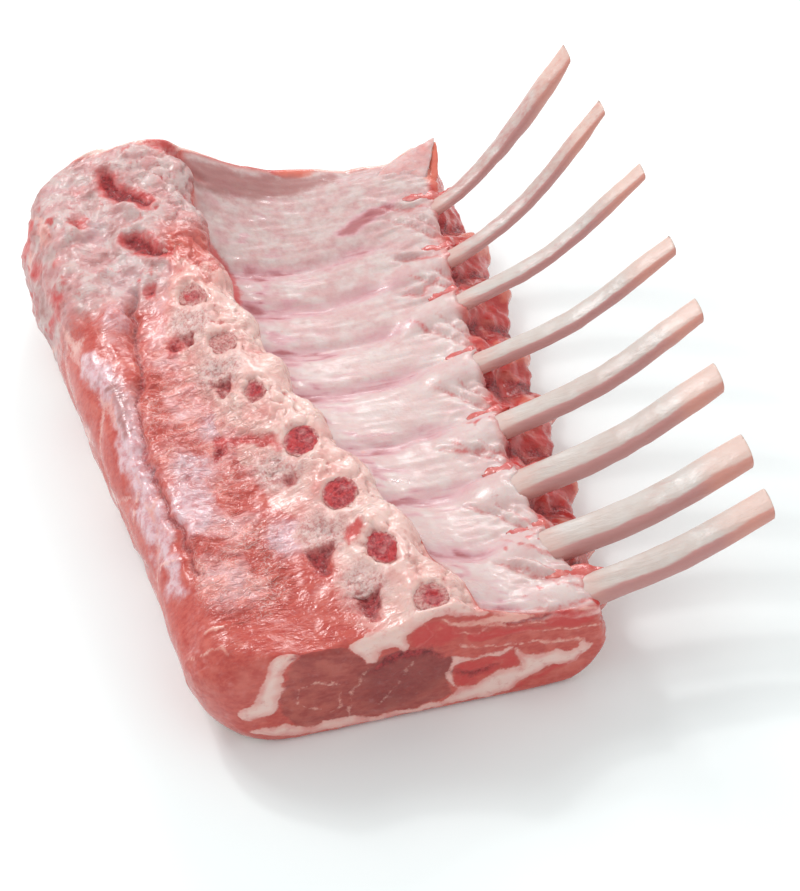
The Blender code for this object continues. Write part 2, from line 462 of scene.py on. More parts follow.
def joined_rings(count, width):
    """The faces between neighbouring rings of points, and the points' numbers."""
    number = np.arange(count * width).reshape(count, width)
    right = np.roll(number, -1, axis=1)
    quads = np.stack([number[:-1], right[:-1], right[1:], number[1:]], axis=-1)
    return quads.reshape(-1, 4).tolist(), number


def meat_surface():
    """The meat's smooth surface before its relief: points, faces, places along the outline."""
    distance = row_places()
    t = distance / LENGTH
    u = outline_places()
    rows = outlines(t, u)
    core = rows.copy()
    left, right = (along(side, t)[:, None] for side in (CORE_LEFT, CORE_RIGHT))
    core[..., 0] = np.clip(core[..., 0], left, right)
    core[..., 1] = CORE_Z
    outward = rows - core
    outward /= np.linalg.norm(outward, axis=-1, keepdims=True)
    inset = corner_inset(distance, LOIN_ROUND) + corner_inset(LENGTH - distance, SHOULDER_ROUND)
    rows = rows - outward * inset[:, None, None]
    y = mix(LOIN_END_Y, shoulder_face(rows[..., 0]), t[:, None])
    grid = np.stack([rows[..., 0], y, rows[..., 1]], axis=-1)
    count, width = grid.shape[:2]
    points = [grid.reshape(-1, 3)]
    faces, _ = joined_rings(count, width)
    start = count * width
    for row, step, turned in ((0, FACE_STEP, False), (count - 1, HIDDEN_FACE_STEP, True)):
        inner, triangles = cap(grid[row][:, [0, 2]], step, row)
        depth = 0 * inner[:, 0] + (shoulder_face(inner[:, 0]) if turned else LOIN_END_Y)
        points.append(np.stack([inner[:, 0], depth, inner[:, 1]], axis=1))
        for triangle in triangles:
            corners = [row * width + k if k < width else start + k - width for k in triangle]
            faces.append(corners[::-1] if turned else corners)
        start += len(inner)
    points = np.concatenate(points)
    places = np.full(len(points), float(BACK))
    places[: count * width] = np.tile(u, count)
    return points, faces, places


def make_mesh(name, points, faces, fields=None):
    """A smooth mesh object from millimetre points, with a float attribute for each field."""
    mesh = bpy.data.meshes.new(name)
    mesh.from_pydata((np.asarray(points) * MM).tolist(), [], faces)
    mesh.shade_smooth()
    for field, values in (fields or {}).items():
        made = mesh.attributes.new(field, "FLOAT", "POINT")
        made.data.foreach_set("value", np.asarray(values, np.float32))
    made = bpy.data.objects.new(name, mesh)
    bpy.context.scene.collection.objects.link(made)
    return made


def normals_of(points, faces):
    """The outward direction at each point."""
    mesh = bpy.data.meshes.new("normals")
    mesh.from_pydata(np.asarray(points).tolist(), [], faces)
    made = np.zeros(len(points) * 3, np.float32)
    mesh.vertex_normals.foreach_get("vector", made)
    bpy.data.meshes.remove(mesh)
    return made.reshape(-1, 3).astype(float)


def loft(rings):
    """Points and faces of a closed solid through rings, with a fan at each end."""
    count, width = rings.shape[:2]
    faces, number = joined_rings(count, width)
    points = [rings.reshape(-1, 3), [rings[0].mean(axis=0)], [rings[-1].mean(axis=0)]]
    first, last = count * width, count * width + 1
    for k in range(width):
        j = (k + 1) % width
        faces.append([first, number[0, j], number[0, k]])
        faces.append([last, number[-1, k], number[-1, j]])
    return np.concatenate(points), faces


def make_piece(name, parts, fields, look, slot, *nodes):
    """A piece with its material and its place in the table, made of parts.

    A part is its points, its faces, and those of its fields that aren't at their usual value.
    """
    faces = []
    start = 0
    for points, part_faces, _ in parts:
        faces += [[k + start for k in face] for face in part_faces]
        start += len(points)
    levels = {}
    for field, usual in fields.items():
        values = [given.get(field, usual) + 0 * points[:, 0] for points, _, given in parts]
        levels[field] = np.concatenate(values)
    piece = make_mesh(name, np.concatenate([part[0] for part in parts]), faces, levels)
    piece.data.materials.append(look)
    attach(piece, "root")
    if nodes:
        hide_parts(*nodes)


# ---------------------------------------------------------------- places read from the frame


def node_points(node):
    """A CAD node's points in millimetres."""
    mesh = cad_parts[node].data
    made = np.zeros(len(mesh.vertices) * 3, np.float32)
    mesh.vertices.foreach_get("co", made)
    return made.reshape(-1, 3).astype(float) / MM


def rib_heads():
    """The middle of each rib's sawn face."""
    heads = []
    for number in range(1, RIB_COUNT + 1):
        points = node_points(f"rib_{number}")
        points = points[points[:, 0] < points[:, 0].min() + 12]
        heads.append(points[points[:, 2] > points[:, 2].max() - 3.5].mean(axis=0))
    return heads


def stub_places():
    """The middle of each vertebra stub's sawn face."""
    places = []
    for number in range(1, STUB_COUNT + 1):
        low, high = (np.array(corner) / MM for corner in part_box(f"chine_stub_{number}"))
        places.append(np.array([(low[0] + high[0]) / 2, (low[1] + high[1]) / 2, high[2]]))
    return places


def slice_node(node, cuts):
    """The middle and the half sizes, in y and z, of a CAD node at each x."""
    points = node_points(node)
    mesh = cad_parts[node].data
    edges = np.zeros(len(mesh.edges) * 2, np.int32)
    mesh.edges.foreach_get("vertices", edges)
    start, end = points[edges.reshape(-1, 2)].transpose(1, 0, 2)
    middles, halves = [], []
    for cut in cuts:
        crosses = (start[:, 0] - cut) * (end[:, 0] - cut) < 0
        first, second = start[crosses], end[crosses]
        share = (cut - first[:, 0]) / (second[:, 0] - first[:, 0])
        found = mix(first, second, share[:, None])[:, 1:]
        middles.append((found.min(axis=0) + found.max(axis=0)) / 2)
        halves.append((found.max(axis=0) - found.min(axis=0)) / 2)
    return np.array(middles), np.array(halves)


def rib_lines():
    """For each rib, the y and z of its middle and its half sizes along RIB_CUTS."""
    slices = (slice_node(f"rib_{number}", RIB_CUTS) for number in range(1, RIB_COUNT + 1))
    return [np.concatenate(pair, axis=1).T for pair in slices]


def rib_at(line, x):
    """The y and z of a rib's middle and its half sizes at x."""
    return [np.interp(x, RIB_CUTS, values) for values in line]


def rib_middles(lines):
    """The y of each rib where it leaves the lining."""
    return [np.interp(base, RIB_CUTS, line[0]) for base, line in zip(BASE_X, lines)]


class Spot:
    """A place on the meat's smooth surface, with its own axes: across, ahead and outward."""

    def __init__(self, points, normals, place):
        gaps = np.hypot(points[:, 0] - place[0], points[:, 1] - place[1]) + 9 * (points[:, 2] < 30)
        nearest = np.argsort(gaps)[:6]
        outward = normals[nearest].mean(axis=0)
        self.outward = outward / np.linalg.norm(outward)
        self.middle = np.array([place[0], place[1], points[nearest, 2].mean()])
        across = np.cross((0, 1, 0), self.outward)
        self.across = across / np.linalg.norm(across)
        self.ahead = np.cross(self.outward, self.across)

    def at(self, across, ahead, outward):
        """World points for arrays in the spot's own axes."""
        parts = zip((across, ahead, outward), (self.across, self.ahead, self.outward))
        return self.middle + sum(np.asarray(part)[..., None] * axis for part, axis in parts)


# ---------------------------------------------------------------- the meat's relief and masks


def warped(points):
    """The points, moved about a little, for ragged edges of masks."""
    moved = points.copy()
    moved[:, 0] += 1.8 * noise(points, 7, 1) + 0.7 * noise(points, 2.6, 2)
    moved[:, 1] += 1.8 * noise(points, 7, 3) + 0.7 * noise(points, 2.6, 4)
    moved[:, 2] += 1.2 * noise(points, 6, 5) + 0.5 * noise(points, 2.4, 6)
    return moved


class Skin:
    """The meat's smooth surface, and the relief and masks that are worked out over it."""

    def __init__(self, points, places):
        self.points = points
        self.x, self.y, self.z = points.T
        self.u = places
        self.near = smooth(3.0, 0.6, self.y - LOIN_END_Y)
        self.far = smooth(5.0, 1.0, shoulder_face(self.x) - self.y)
        self.side = (1 - self.near) * (1 - self.far)
        self.wx, self.wy, self.wz = warped(points).T
        self.lumps = fractal(points, 17, 10, 3)
        self.fine = fractal(points, 3.6, 20, 2)
        self.relief = np.zeros(len(points))
        for name, usual in MEAT_FIELDS.items():
            setattr(self, name, np.full(len(points), usual))
        ragged = places + 0.12 * noise(points, 6, 30)
        past = [smooth(*edge, ragged) * self.side for edge in PART_EDGES]
        self.flank, self.back, self.ridge, _, self.rim = (a - b for a, b in zip(past, past[1:]))
        self.lining = smooth(GULLY - 0.5, GULLY + 0.1, places) * self.side - past[4]
        self.under = self.side - past[0] + past[5]

    def noise(self, size, seed, stretch=(1, 1, 1)):
        return noise(self.points, size, seed, stretch)

    def fractal(self, size, seed, octaves=3, stretch=(1, 1, 1)):
        return fractal(self.points, size, seed, octaves, stretch)

    def line(self, widths, *route):
        """Depth inside a ragged line on the top, through (x, y) places."""
        return stroke(self.wx, self.wy, route, widths)

    def patch(self, x, y, half_x, half_y, turn=0):
        """Depth inside a ragged ellipse on the top."""
        return patch(self.wx, self.wy, (x, y), (half_x, half_y), turn)

    def patches(self, soft, *ellipses):
        """The share inside any of the ellipses, with an edge this soft."""
        return smooth(-soft, soft, deepest(*(self.patch(*each) for each in ellipses)))

    def lift(self, name, level, where=None):
        """Raises a field to at least this level, where it says."""
        if where is not None:
            level = np.where(where, level, OUTSIDE)
        setattr(self, name, np.maximum(getattr(self, name), level))

    def blend(self, name, level, share):
        setattr(self, name, mix(getattr(self, name), level, share))

    def fields(self):
        made = {name: getattr(self, name) for name in MEAT_FIELDS}
        made.update({name: np.clip(made[name], 0, most) for name, most in MOST.items()})
        return made


def shape_back(skin):
    """The slope between the flank and the crest: wet film, wrinkled in places."""
    points, back = skin.points, skin.back
    skin.relief += skin.lumps * (0.6 * skin.flank + 1.0 * back)
    skin.relief += skin.fine * (0.15 * skin.flank + 0.2 * back)
    wrinkled = smooth(-2, 5, skin.patch(-70, -74, 18, 25))
    wrinkled = np.maximum(wrinkled, 0.8 * smooth(-3, 5, skin.patch(-66, -12, 22, 40)))
    skin.wrinkle = np.maximum(0.2 * back, wrinkled * back)
    warp = np.stack([skin.noise(5, 53), skin.noise(5, 54), 0 * back], axis=1)
    folds = 1 - np.abs(noise(points + 1.6 * warp, 4.0, 50, (1.5, 0.9, 1)))
    fine_folds = 1 - np.abs(noise(points + 1.2 * warp, 2.4, 55, (1.3, 0.9, 1)))
    skin.relief += skin.wrinkle * (1.4 * folds**4 + 0.3 * fine_folds**4 - 0.7)
    front = smooth(-80, -100, skin.y)
    skin.film = back * (0.7 - 1.1 * front + 0.9 * skin.fractal(10, 60, 2, (1.4, 1, 1)))
    skin.film += skin.wrinkle * 0.5 * (folds - 0.7)
    # Lilac silverskin patches, their lilac-white partly a painted reflection.
    cold = skin.patches(3.5, (-78, -47, 8, 12), (-75, -32, 7, 6), (-65, -16, 4, 5), (-54, -67, 6, 7))
    pale = skin.patches(2.0, (-72, -80, 9, 8), (-72, -2, 7, 9), (-52, -93, 8, 5), (-44, -44, 4, 5))
    bare = skin.patches(
        3.0, (-56, -82, 6, 10), (-61, -71, 5, 11), (-78, -63, 5, 3.5), (-66, -108, 22, 7),
        (-62, -48, 8, 5), (-80, 0, 4, 12), (-60, 8, 5, 6),
    )
    skin.silver = 0.9 * back * cold
    skin.film += back * (0.5 * pale - 0.9 * bare)
    channel = skin.line(
        (2.2, 1.4, 1.2, 1.6, 1.2), (-46, -33), (-50, -29), (-58, -26), (-64, -23), (-66, -30)
    )
    skin.lift("tint", 1.3 * smooth(-1.8, 1.0, channel) * back)
    skin.lift("blood_and_shade", skin.patch(-66, -28, 1.3, 3.2))
    skin.relief -= 1.0 * smooth(-2, 1, channel) * skin.side


def shape_hump(skin):
    """The shoulder end's hump: pale, lumpy and torn open in places."""
    side, y, z = skin.side, skin.y, skin.z
    hump = (skin.back + skin.flank) * smooth(30, 56, y)
    folds = skin.fractal(12, 40)
    inward = -2.4 * smooth(-96, -106, skin.x) * smooth(62, 98, y)
    skin.relief += hump * (1.3 * folds + 1.1 * skin.fractal(4.5, 44) + 0.4 + inward)
    skin.film += hump * (0.5 + 0.5 * folds)
    far_ridge = skin.ridge * smooth(56, 84, y)
    skin.pale = hump * (0.95 + 0.5 * skin.fractal(8, 45)) + 0.8 * far_ridge
    skin.film += 0.9 * far_ridge
    skin.tint += 1.1 * hump * smooth(0.15, 0.7, skin.fractal(5, 72, 3, (1, 1.5, 1)))
    skin.dusk = 0.9 * hump * smooth(0.0, 0.7, skin.fractal(6, 74))
    skin.dusk += 0.6 * skin.flank * smooth(-0.3, 0.6, skin.fractal(14, 75)) * smooth(30, 60, y)
    bruises = skin.patches(2.0, (-107, 94, 4, 6), (-106, 74, 3, 8), (-102, 56, 3, 6))
    skin.tint += 1.2 * side * bruises * smooth(22, 34, z + 12 * skin.noise(9, 115))
    gash = skin.line((4.5, 3.5, 1.5), (-57, 113), (-50, 108), (-43, 102))
    skin.lift("tint", smooth(-2.5, 2.0, gash) * smooth(34, 42, z))
    skin.relief -= 1.2 * smooth(-1, 3, gash) * side
    # Silverskin patches; the one at (-94, 104) is a painted highlight.
    skin.silver += 1.1 * hump * skin.patches(
        2.0, (-84, 80, 4, 8), (-78, 56, 6, 10), (-94, 104, 7, 3), (-62, 74, 5, 3)
    )
    holes = deepest(
        skin.line((1.4, 2.6, 3.0, 1.6), (-77, 103), (-76, 97), (-71, 91), (-65, 85)),
        skin.line((2.2, 2.0, 0.8), (-74, 72), (-71, 66), (-64, 60)),
        skin.patch(-89, 84, 1.0, 1.6),
        skin.patch(-72, 46, 1.2, 1.8),
        skin.patch(-69, 21, 1.2, 2.0),
    )
    skin.relief -= 2.4 * smooth(-1.5, 2.4, holes) * side
    skin.relief += hump * bell(holes + 2.6, 1.6) * (0.8 + 0.8 * folds)
    skin.lift("blood_and_shade", 1.4 * holes - 0.6)
    skin.lift("tint", 1.1 * smooth(-4.0, 0.5, holes + 1.5 * skin.noise(5, 76)) * side)
    skin.lift("dusk", 0.9 * smooth(-1.5, 1.5, skin.patch(-90, 2, 2.2, 9.0)) * side)
    knob = skin.patch(-85, 38, 5, 8)
    skin.relief += 2.4 * smooth(-1, 4, knob) * side
    skin.lift("silver", 0.6 * smooth(-1, 2, knob) * side)


def shape_flank(skin):
    """The outer side: lean between thin seams, and the crease along its top."""
    points, side, y = skin.points, skin.side, skin.y
    nearest, second = cells(points + 2.5 * skin.lumps[:, None], 13, 8, (1, 2.4, 0.9))
    outer = skin.flank * mix(0.35, 1, smooth(-70, -50, y))
    skin.lift("fat", 0.2 + 0.9 * skin.noise(9, 96) - 7.5 * (second - nearest), outer > 0.4)
    skin.relief += outer * 0.7 * smooth(0, 0.35, second - nearest)
    skin.film += outer * (0.02 + 0.5 * skin.fractal(10, 97, 3, (1, 2, 1)))
    skin.film += 0.5 * outer * smooth(32, 18, skin.z + 10 * skin.noise(14, 116))
    skin.film += skin.flank * smooth(-60, -90, y) * (0.2 + 0.5 * skin.fractal(12, 79))
    scratches = deepest(
        skin.line((0.3, 1.0, 0.4), (-84, -94), (-80, -96), (-76, -97)),
        skin.line(0.25, (-91, -96), (-86, -100), (-80, -104)),
        skin.line(0.5, (-91, -62), (-88, -63), (-86, -64)),
        skin.line(0.5, (-94, -38), (-92, -34)),
    )
    skin.lift("sinew", scratches, side > 0.5)
    skin.relief += 0.5 * smooth(-0.8, 0.6, scratches) * side

    crease = bell(skin.line(0.0, *CREASE), 1.4) * side
    crease *= smooth(0.5, 2.5, skin.u) * smooth(6.5, 5, skin.u)
    skin.relief -= 2.0 * crease
    skin.lift("blood_and_shade", crease * 3 - 2.6)
    silver = skin.line(SILVER_WIDTHS, *SILVER) + 1.6 * skin.fractal(7, 77, 2)
    skin.relief += 0.8 * smooth(-1, 3, silver) * side
    skin.lift("silver", smooth(-2.6, 1.6, silver) * side)
    stain = smooth(0.0, 0.5, skin.fractal(4, 78)) * smooth(-1, 2, silver) * smooth(-24, -8, y)
    skin.lift("dusk", 1.2 * stain * side)


def shape_ridge(skin, heads, stubs):
    """The crest: sawn bone ends set in lobes of cream fat."""
    ridge, side, u, y = skin.ridge, skin.side, skin.u, skin.y
    lobes = skin.fractal(10, 83)
    skin.relief += ridge * (0.5 * skin.lumps + 1.1 * lobes + 0.25 * skin.fine)
    skin.wrinkle += 0.4 * ridge * smooth(-0.2, 0.5, skin.noise(9, 107))
    parting = ridge * smooth(0.16, 0.0, np.abs(skin.noise(8, 109) + 0.3 * skin.noise(3, 114)))
    dimples = ridge * smooth(0.3, 0.9, skin.fractal(5, 84))
    skin.relief -= 1.0 * parting + 0.9 * dimples
    skin.tint += 0.55 * parting + 0.9 * dimples
    wide = ridge + skin.back * smooth(5.2, 6.2, u) * smooth(60, 20, y)
    cover = 3.2 * np.minimum(wide, 1) - 1.2 - 3.2 * smooth(24, 80, y)
    skin.lift("fat", cover + 2.2 * lobes, wide > 0.1)
    ragged = 0.7 * skin.noise(2.4, 85)
    for number, spot in enumerate(stubs):
        shape_stub(skin, number, spot.middle[:2], ragged)
    for head, (radii, turn, _) in zip(heads, HEAD_SHAPES):
        shape_head(skin, head.middle[:2], radii, turn, ragged)
    scallop = np.cos(2 * math.pi * (y + 97 + 3 * skin.noise(20, 82)) / 24.5)
    right_side = smooth(7.6, 8.6, u) * smooth(GULLY + 0.2, GULLY - 0.6, u) * side
    skin.relief += right_side * (1.3 * scallop + 0.3)
    red = deepest(
        skin.line(1.2, (-31, -25), (-31, -18), (-32, -12)),
        skin.line((1.2, 1.8, 2.6, 1.6), (-41, 40), (-43, 50), (-44, 60), (-46, 70)),
        skin.patch(-34, -75, 2.2, 2.6),
        skin.line(1.2, (-36, 6), (-38, 14)),
    )
    skin.lift("tint", 1.4 * smooth(-2.4, 1.6, red + ragged) * side)


def shape_stub(skin, number, middle, ragged):
    """A vertebra stub's rough ground, its sunken face and the bloody hollow at its near end."""
    side, (x, y) = skin.side, middle
    rough = skin.patch(x + 0.5, y + 1.5, 8.0, 9.5, STUB_TURN)
    skin.lift("grain", rough, side > 0.5)
    skin.relief += side * smooth(-2, 2, rough) * 0.9 * skin.fractal(2.8, 86, 2)
    face = patch(skin.x, skin.y, (x, y + STUB_SET_BACK), (5.2, 4.4), STUB_TURN)
    floor = 0.9 * skin.fractal(4, 87, 2) - 0.4
    skin.blend("relief", floor, side * smooth(-2.5, 1.5, face + ragged))
    (shift_x, shift_y), size = PIT_PLACES[number]
    corners = [(a * size + shift_x, mix(-3, b, size) + shift_y) for a, b in PIT]
    pit = region(skin.wx - x, skin.wy - y, corners) + ragged
    skin.lift("blood_and_shade", 0.6 * pit - 0.1 + 0.7 * skin.noise(2.4, 89))
    hollow = 1.0 * skin.fractal(2.2, 88, 2) - 2.2
    skin.blend("relief", hollow, side * smooth(-1.2, 1.4, pit))
    skin.lift("tint", 0.8 * side * smooth(-3, 0.5, pit))


def shape_head(skin, middle, radii, turn, ragged):
    """A rib's sawn head: a sunken face with a raised, uneven rim of fat."""
    on_top = skin.side * smooth(5.2, 6.2, skin.u) * smooth(GULLY, GULLY - 1, skin.u)
    depth = patch(skin.x, skin.y, middle, radii, turn) + ragged + 0.8 * skin.noise(4.5, 112)
    if radii[0] < SMALLEST_OPEN_HEAD:
        depth -= 9
    skin.relief += on_top * (0.55 + 0.7 * skin.noise(6, 81)) * bell(depth + 2.8, 2.2)
    skin.blend("relief", -2.6, on_top * smooth(-0.9, 0.7, depth))
    inside = on_top > 0.2
    skin.grain = np.where(inside, np.minimum(skin.grain, -1.2 - depth), skin.grain)
    skin.lift("fat", np.minimum(depth + 3.0, 2.5), inside)
    skin.lift("tint", on_top * smooth(-1.6, 0.3, depth) * 0.8)


def shape_lining(skin, lines):
    """The rib lining: bands between the ribs, folds, and a sleeve over each rib."""
    x, y, u, lining = skin.x, skin.y, skin.u, skin.lining
    skin.relief += lining * (0.3 * skin.lumps + 0.15 * skin.fractal(7, 98, 2) + 0.05 * skin.fine)
    lines_along = skin.noise(2.2, 108, (9, 0.8, 1))
    skin.relief += 0.22 * lining * lines_along
    offset = y - 0.1 * (x + 15) + 1.2 * skin.noise(11, 90)
    grooves = deepest(*(bell(offset - centre, 4.2) for centre in BAND_Y)) * lining
    grooves *= smooth(24, 0, x)
    skin.relief -= 1.5 * grooves
    skin.band = grooves * (0.85 + 0.6 * skin.noise(9, 91, (2.4, 0.6, 1)))
    streaks = skin.fractal(5, 92, 2, (3.6, 0.5, 1))
    skin.band += lining * (0.35 * smooth(0.15, 0.6, streaks) + 0.25 * smooth(0.1, 0.6, -lines_along))
    # Along the ridge's foot the lining is painted pinker and darker: painted shade from the ridge,
    # with magenta streaks.
    foot = lining * smooth(GULLY + 1.6, GULLY, u)
    skin.band += foot * (0.15 + smooth(0.1, 0.6, skin.noise(5, 99, (1.6, 0.8, 1))))
    skin.lift("pale", 0.8 * lining * smooth(-10, 60, y))
    outer = lining * smooth(2, 16, x)
    torn = 1 - np.abs(skin.fractal(6, 100, 2, (1.8, 0.8, 1)))
    skin.relief += outer * (0.9 * torn**3 - 0.4)
    skin.tint += 0.6 * outer * smooth(0.4, 0.1, torn)
    lens = skin.line((1.6, 3.2, 1.4), (0, 78), (10, 82), (21, 86))
    skin.lift("band", 1.7 * smooth(-2.2, 1.6, lens) * lining)
    crumbs = skin.patches(2.0, (17, -80, 9, 4.5), (18, -102, 8, 4), (18, -26, 6, 3)) * lining
    skin.relief += crumbs * 1.1 * skin.fractal(2.6, 101, 2)
    skin.tint += 1.2 * crumbs * smooth(0.1, 0.6, skin.noise(2.6, 102))
    shape_folds(skin, lines)
    skin.wet = lining * skin.patches(
        1.5, (-13, -21, 4.5, 2.6), (-11, -43, 4.5, 2.4), (-8, -72, 4.5, 2.6), (-5, -100, 3.5, 2.4)
    )
    skin.relief *= 1 - 0.6 * skin.wet

    # Painted shade: a mauve-brown band under the shoulder end's far rim.
    shade = skin.line((5, 5, 3.5, 1), (-47, 104), (-30, 104), (-12, 106), (4, 106))
    shade += 3.0 * skin.fractal(8, 113, 2)
    skin.lift("dusk", 1.1 * smooth(-3.5, 2.5, shade) * skin.side)
    high = smooth(26, 30, skin.z)
    tan = np.maximum(skin.patch(-8, 112, 8, 3), skin.patch(37, 99, 3, 9))
    skin.lift("tan", 1.1 * smooth(-2, 2, tan) * high)
    skin.lift("tint", 1.2 * smooth(-1.5, 1, skin.patch(-11, 112, 7, 2.5)) * high)
    # The lining's shoulder half is painted darker mauve-brown.
    skin.dusk += 0.35 * lining * smooth(30, 80, y)
    for line, base in zip(lines, BASE_X):
        shape_sleeve(skin, line, base)


def shape_folds(skin, lines):
    """Rope-like folds on the lining's torn side, each with a red line along its lower side."""
    chance = random.Random(11)
    folds = list(FOLDS)
    middles = rib_middles(lines)
    for base, lower, upper in zip(BASE_X[1:], middles, middles[1:]):
        for start, end in ((-19, 1), (-10, 5)):
            drift = chance.uniform(-1.5, 1.5)
            top = upper - 1 - 0.16 * (start + 19) * chance.uniform(0.6, 1.4)
            route = (
                (base + start, top + drift),
                (base + mix(start, end, 0.35), mix(top, lower, 0.22) + drift),
                (base + mix(start, end, 0.7), mix(top, lower, 0.5) + drift),
                (base + end, lower + 5.5),
            )
            folds.append((route, (0.3, chance.uniform(1.2, 2.0), chance.uniform(1.4, 2.2), 0.6)))
    x, y = skin.x + 0.9 * skin.noise(5, 110), skin.y + 0.9 * skin.noise(5, 111)
    for route, widths in folds:
        depth = stroke(x, y, route, widths)
        dome = smooth(-0.8, 1.8, depth) * skin.lining
        skin.relief += 1.1 * dome
        below = stroke(x, y + 2.4, route, widths)
        line = smooth(-1.4, 1.0, below) * smooth(0.6, -1.0, depth) * skin.lining
        skin.relief -= 0.6 * line
        skin.lift("tint", 0.8 * line)
        skin.blend("band", 0.15, dome)


def shape_sleeve(skin, line, base):
    """The lining's sleeve over a rib, torn off round its base."""
    x = skin.x
    ys, zs, half_y, half_z = rib_at(line, x)
    across = np.clip(np.abs(skin.y - ys) / (half_y + 3.0), 0, 1)
    round_top = np.sqrt(1 - across**2)
    torn = base + 3 - 5 * round_top + 1.8 * skin.noise(4, 93)
    cover = zs + (half_z + mix(0.2, 1.3, smooth(torn, torn - 5, x))) * round_top
    on_top = smooth(GULLY + 0.4, GULLY + 1.2, skin.u) * smooth(LIP - 0.6, LIP - 1.2, skin.u)
    sleeve = smooth(torn + 0.6, torn - 0.6, x) * smooth(2, 14, x) * (across < 1) * on_top
    skin.relief += sleeve * skin.side * np.maximum(cover - skin.z - skin.relief, 0)


def shape_rim(skin, lines):
    """The torn edge past the lining: a lobe and a pocket in each gap between two ribs, the pocket
    painted dark red as shade and blood.
    """
    y, u, rim = skin.y, skin.u, skin.rim
    rough = skin.fractal(5, 103)
    mottle = skin.fractal(4.5, 94)
    skin.relief += rim * (0.6 * skin.lumps + 1.3 * rough)
    skin.lift("fat", 3.0 * mottle - 1.4, rim > 0.3)
    skin.film += rim * smooth(0.1, -0.6, mottle) * 0.3
    skin.tint += rim * (0.95 + 0.9 * skin.noise(6, 104, (1, 0.6, 1.6)))
    shelf = smooth(EDGE - 0.2, EDGE + 0.2, u) * smooth(EDGE + 1.3, EDGE + 0.7, u) * rim
    wall = smooth(EDGE + 0.6, EDGE + 1.3, u) * smooth(LIP + 1.0, LIP + 0.2, u) * rim
    ribs_y = [np.interp(skin.x, RIB_CUTS, line[0]) for line in lines]
    wander = 0.14 * skin.noise(7, 105)
    for number, (lower, upper) in enumerate(zip(ribs_y, ribs_y[1:])):
        swing = math.sin(2.4 * number + 1)
        gap = (y - lower) / (upper - lower) + wander - 0.06 * swing
        inside = (gap > -0.1) & (gap < 1.1)
        lobe = bell(gap - 0.45, 0.2) * wall * inside
        pocket = bell(gap - 0.7, 0.2) * shelf * inside
        hollow = bell(gap - 0.82, 0.12) * wall * inside
        skin.relief += (3.8 + 1.2 * swing) * lobe - 3.6 * pocket - 1.6 * hollow
        skin.lift("tan", (1.1 - 0.3 * swing) * smooth(0.2, 0.7, lobe + 0.5 * mottle))
        skin.lift("fat", 4.0 * lobe - 2.9 + 2.2 * mottle, rim > 0.3)
        # Painted shade with blood: the pocket under each rib and the hollow beside it are painted
        # dark red.
        skin.lift("blood_and_shade", 3.4 * np.maximum(pocket, hollow) - 2.2 + 0.9 * rough)


def shape_ends(skin):
    """The two cut faces, and the fat that the rack lies on."""
    near, far = skin.near, skin.far
    cut = face_masks(skin.wx, skin.wz)
    cut["tint"] = cut["tint"] + 0.3 * skin.fine
    cut["film"] = cut["film"] + 0.3 * skin.lumps
    for name, mask in cut.items():
        skin.blend(name, mask, near)
    skin.relief += near * (0.35 * skin.lumps + 0.12 * skin.fine)
    skin.relief += near * (0.3 * smooth(-0.5, 1.2, cut["fat"]) + 0.5 * smooth(0, 6, cut["eye"]))
    skin.relief += near * (0.2 * smooth(-0.6, 0.4, cut["sinew"]) - 0.5 * smooth(-1, 1, cut["blood_and_shade"]))
    nearest, second = cells(skin.points + 3 * skin.lumps[:, None], 26, 7, (1, 4, 0.8))
    top_edge = 6 * smooth(4.5, 1.5, np.interp(skin.x, *zip(*SHOULDER_TOP)) - skin.z)
    skin.blend("fat", 0.8 - 15 * (second - nearest) + top_edge, far)
    skin.relief += far * (0.5 * skin.lumps + 0.8 * smooth(0, 0.5, second - nearest))
    skin.blend("fat", 2.5 + 3.5 * skin.fractal(15, 95), skin.under)
    skin.blend("relief", 0.3 * skin.lumps, skin.under)
    for name in ("blood_and_shade", "grain", "sinew"):
        skin.blend(name, OUTSIDE, skin.under)
    for name in ("tint", "dusk", "tan", "silver", "band", "wrinkle"):
        skin.blend(name, 0, skin.under)


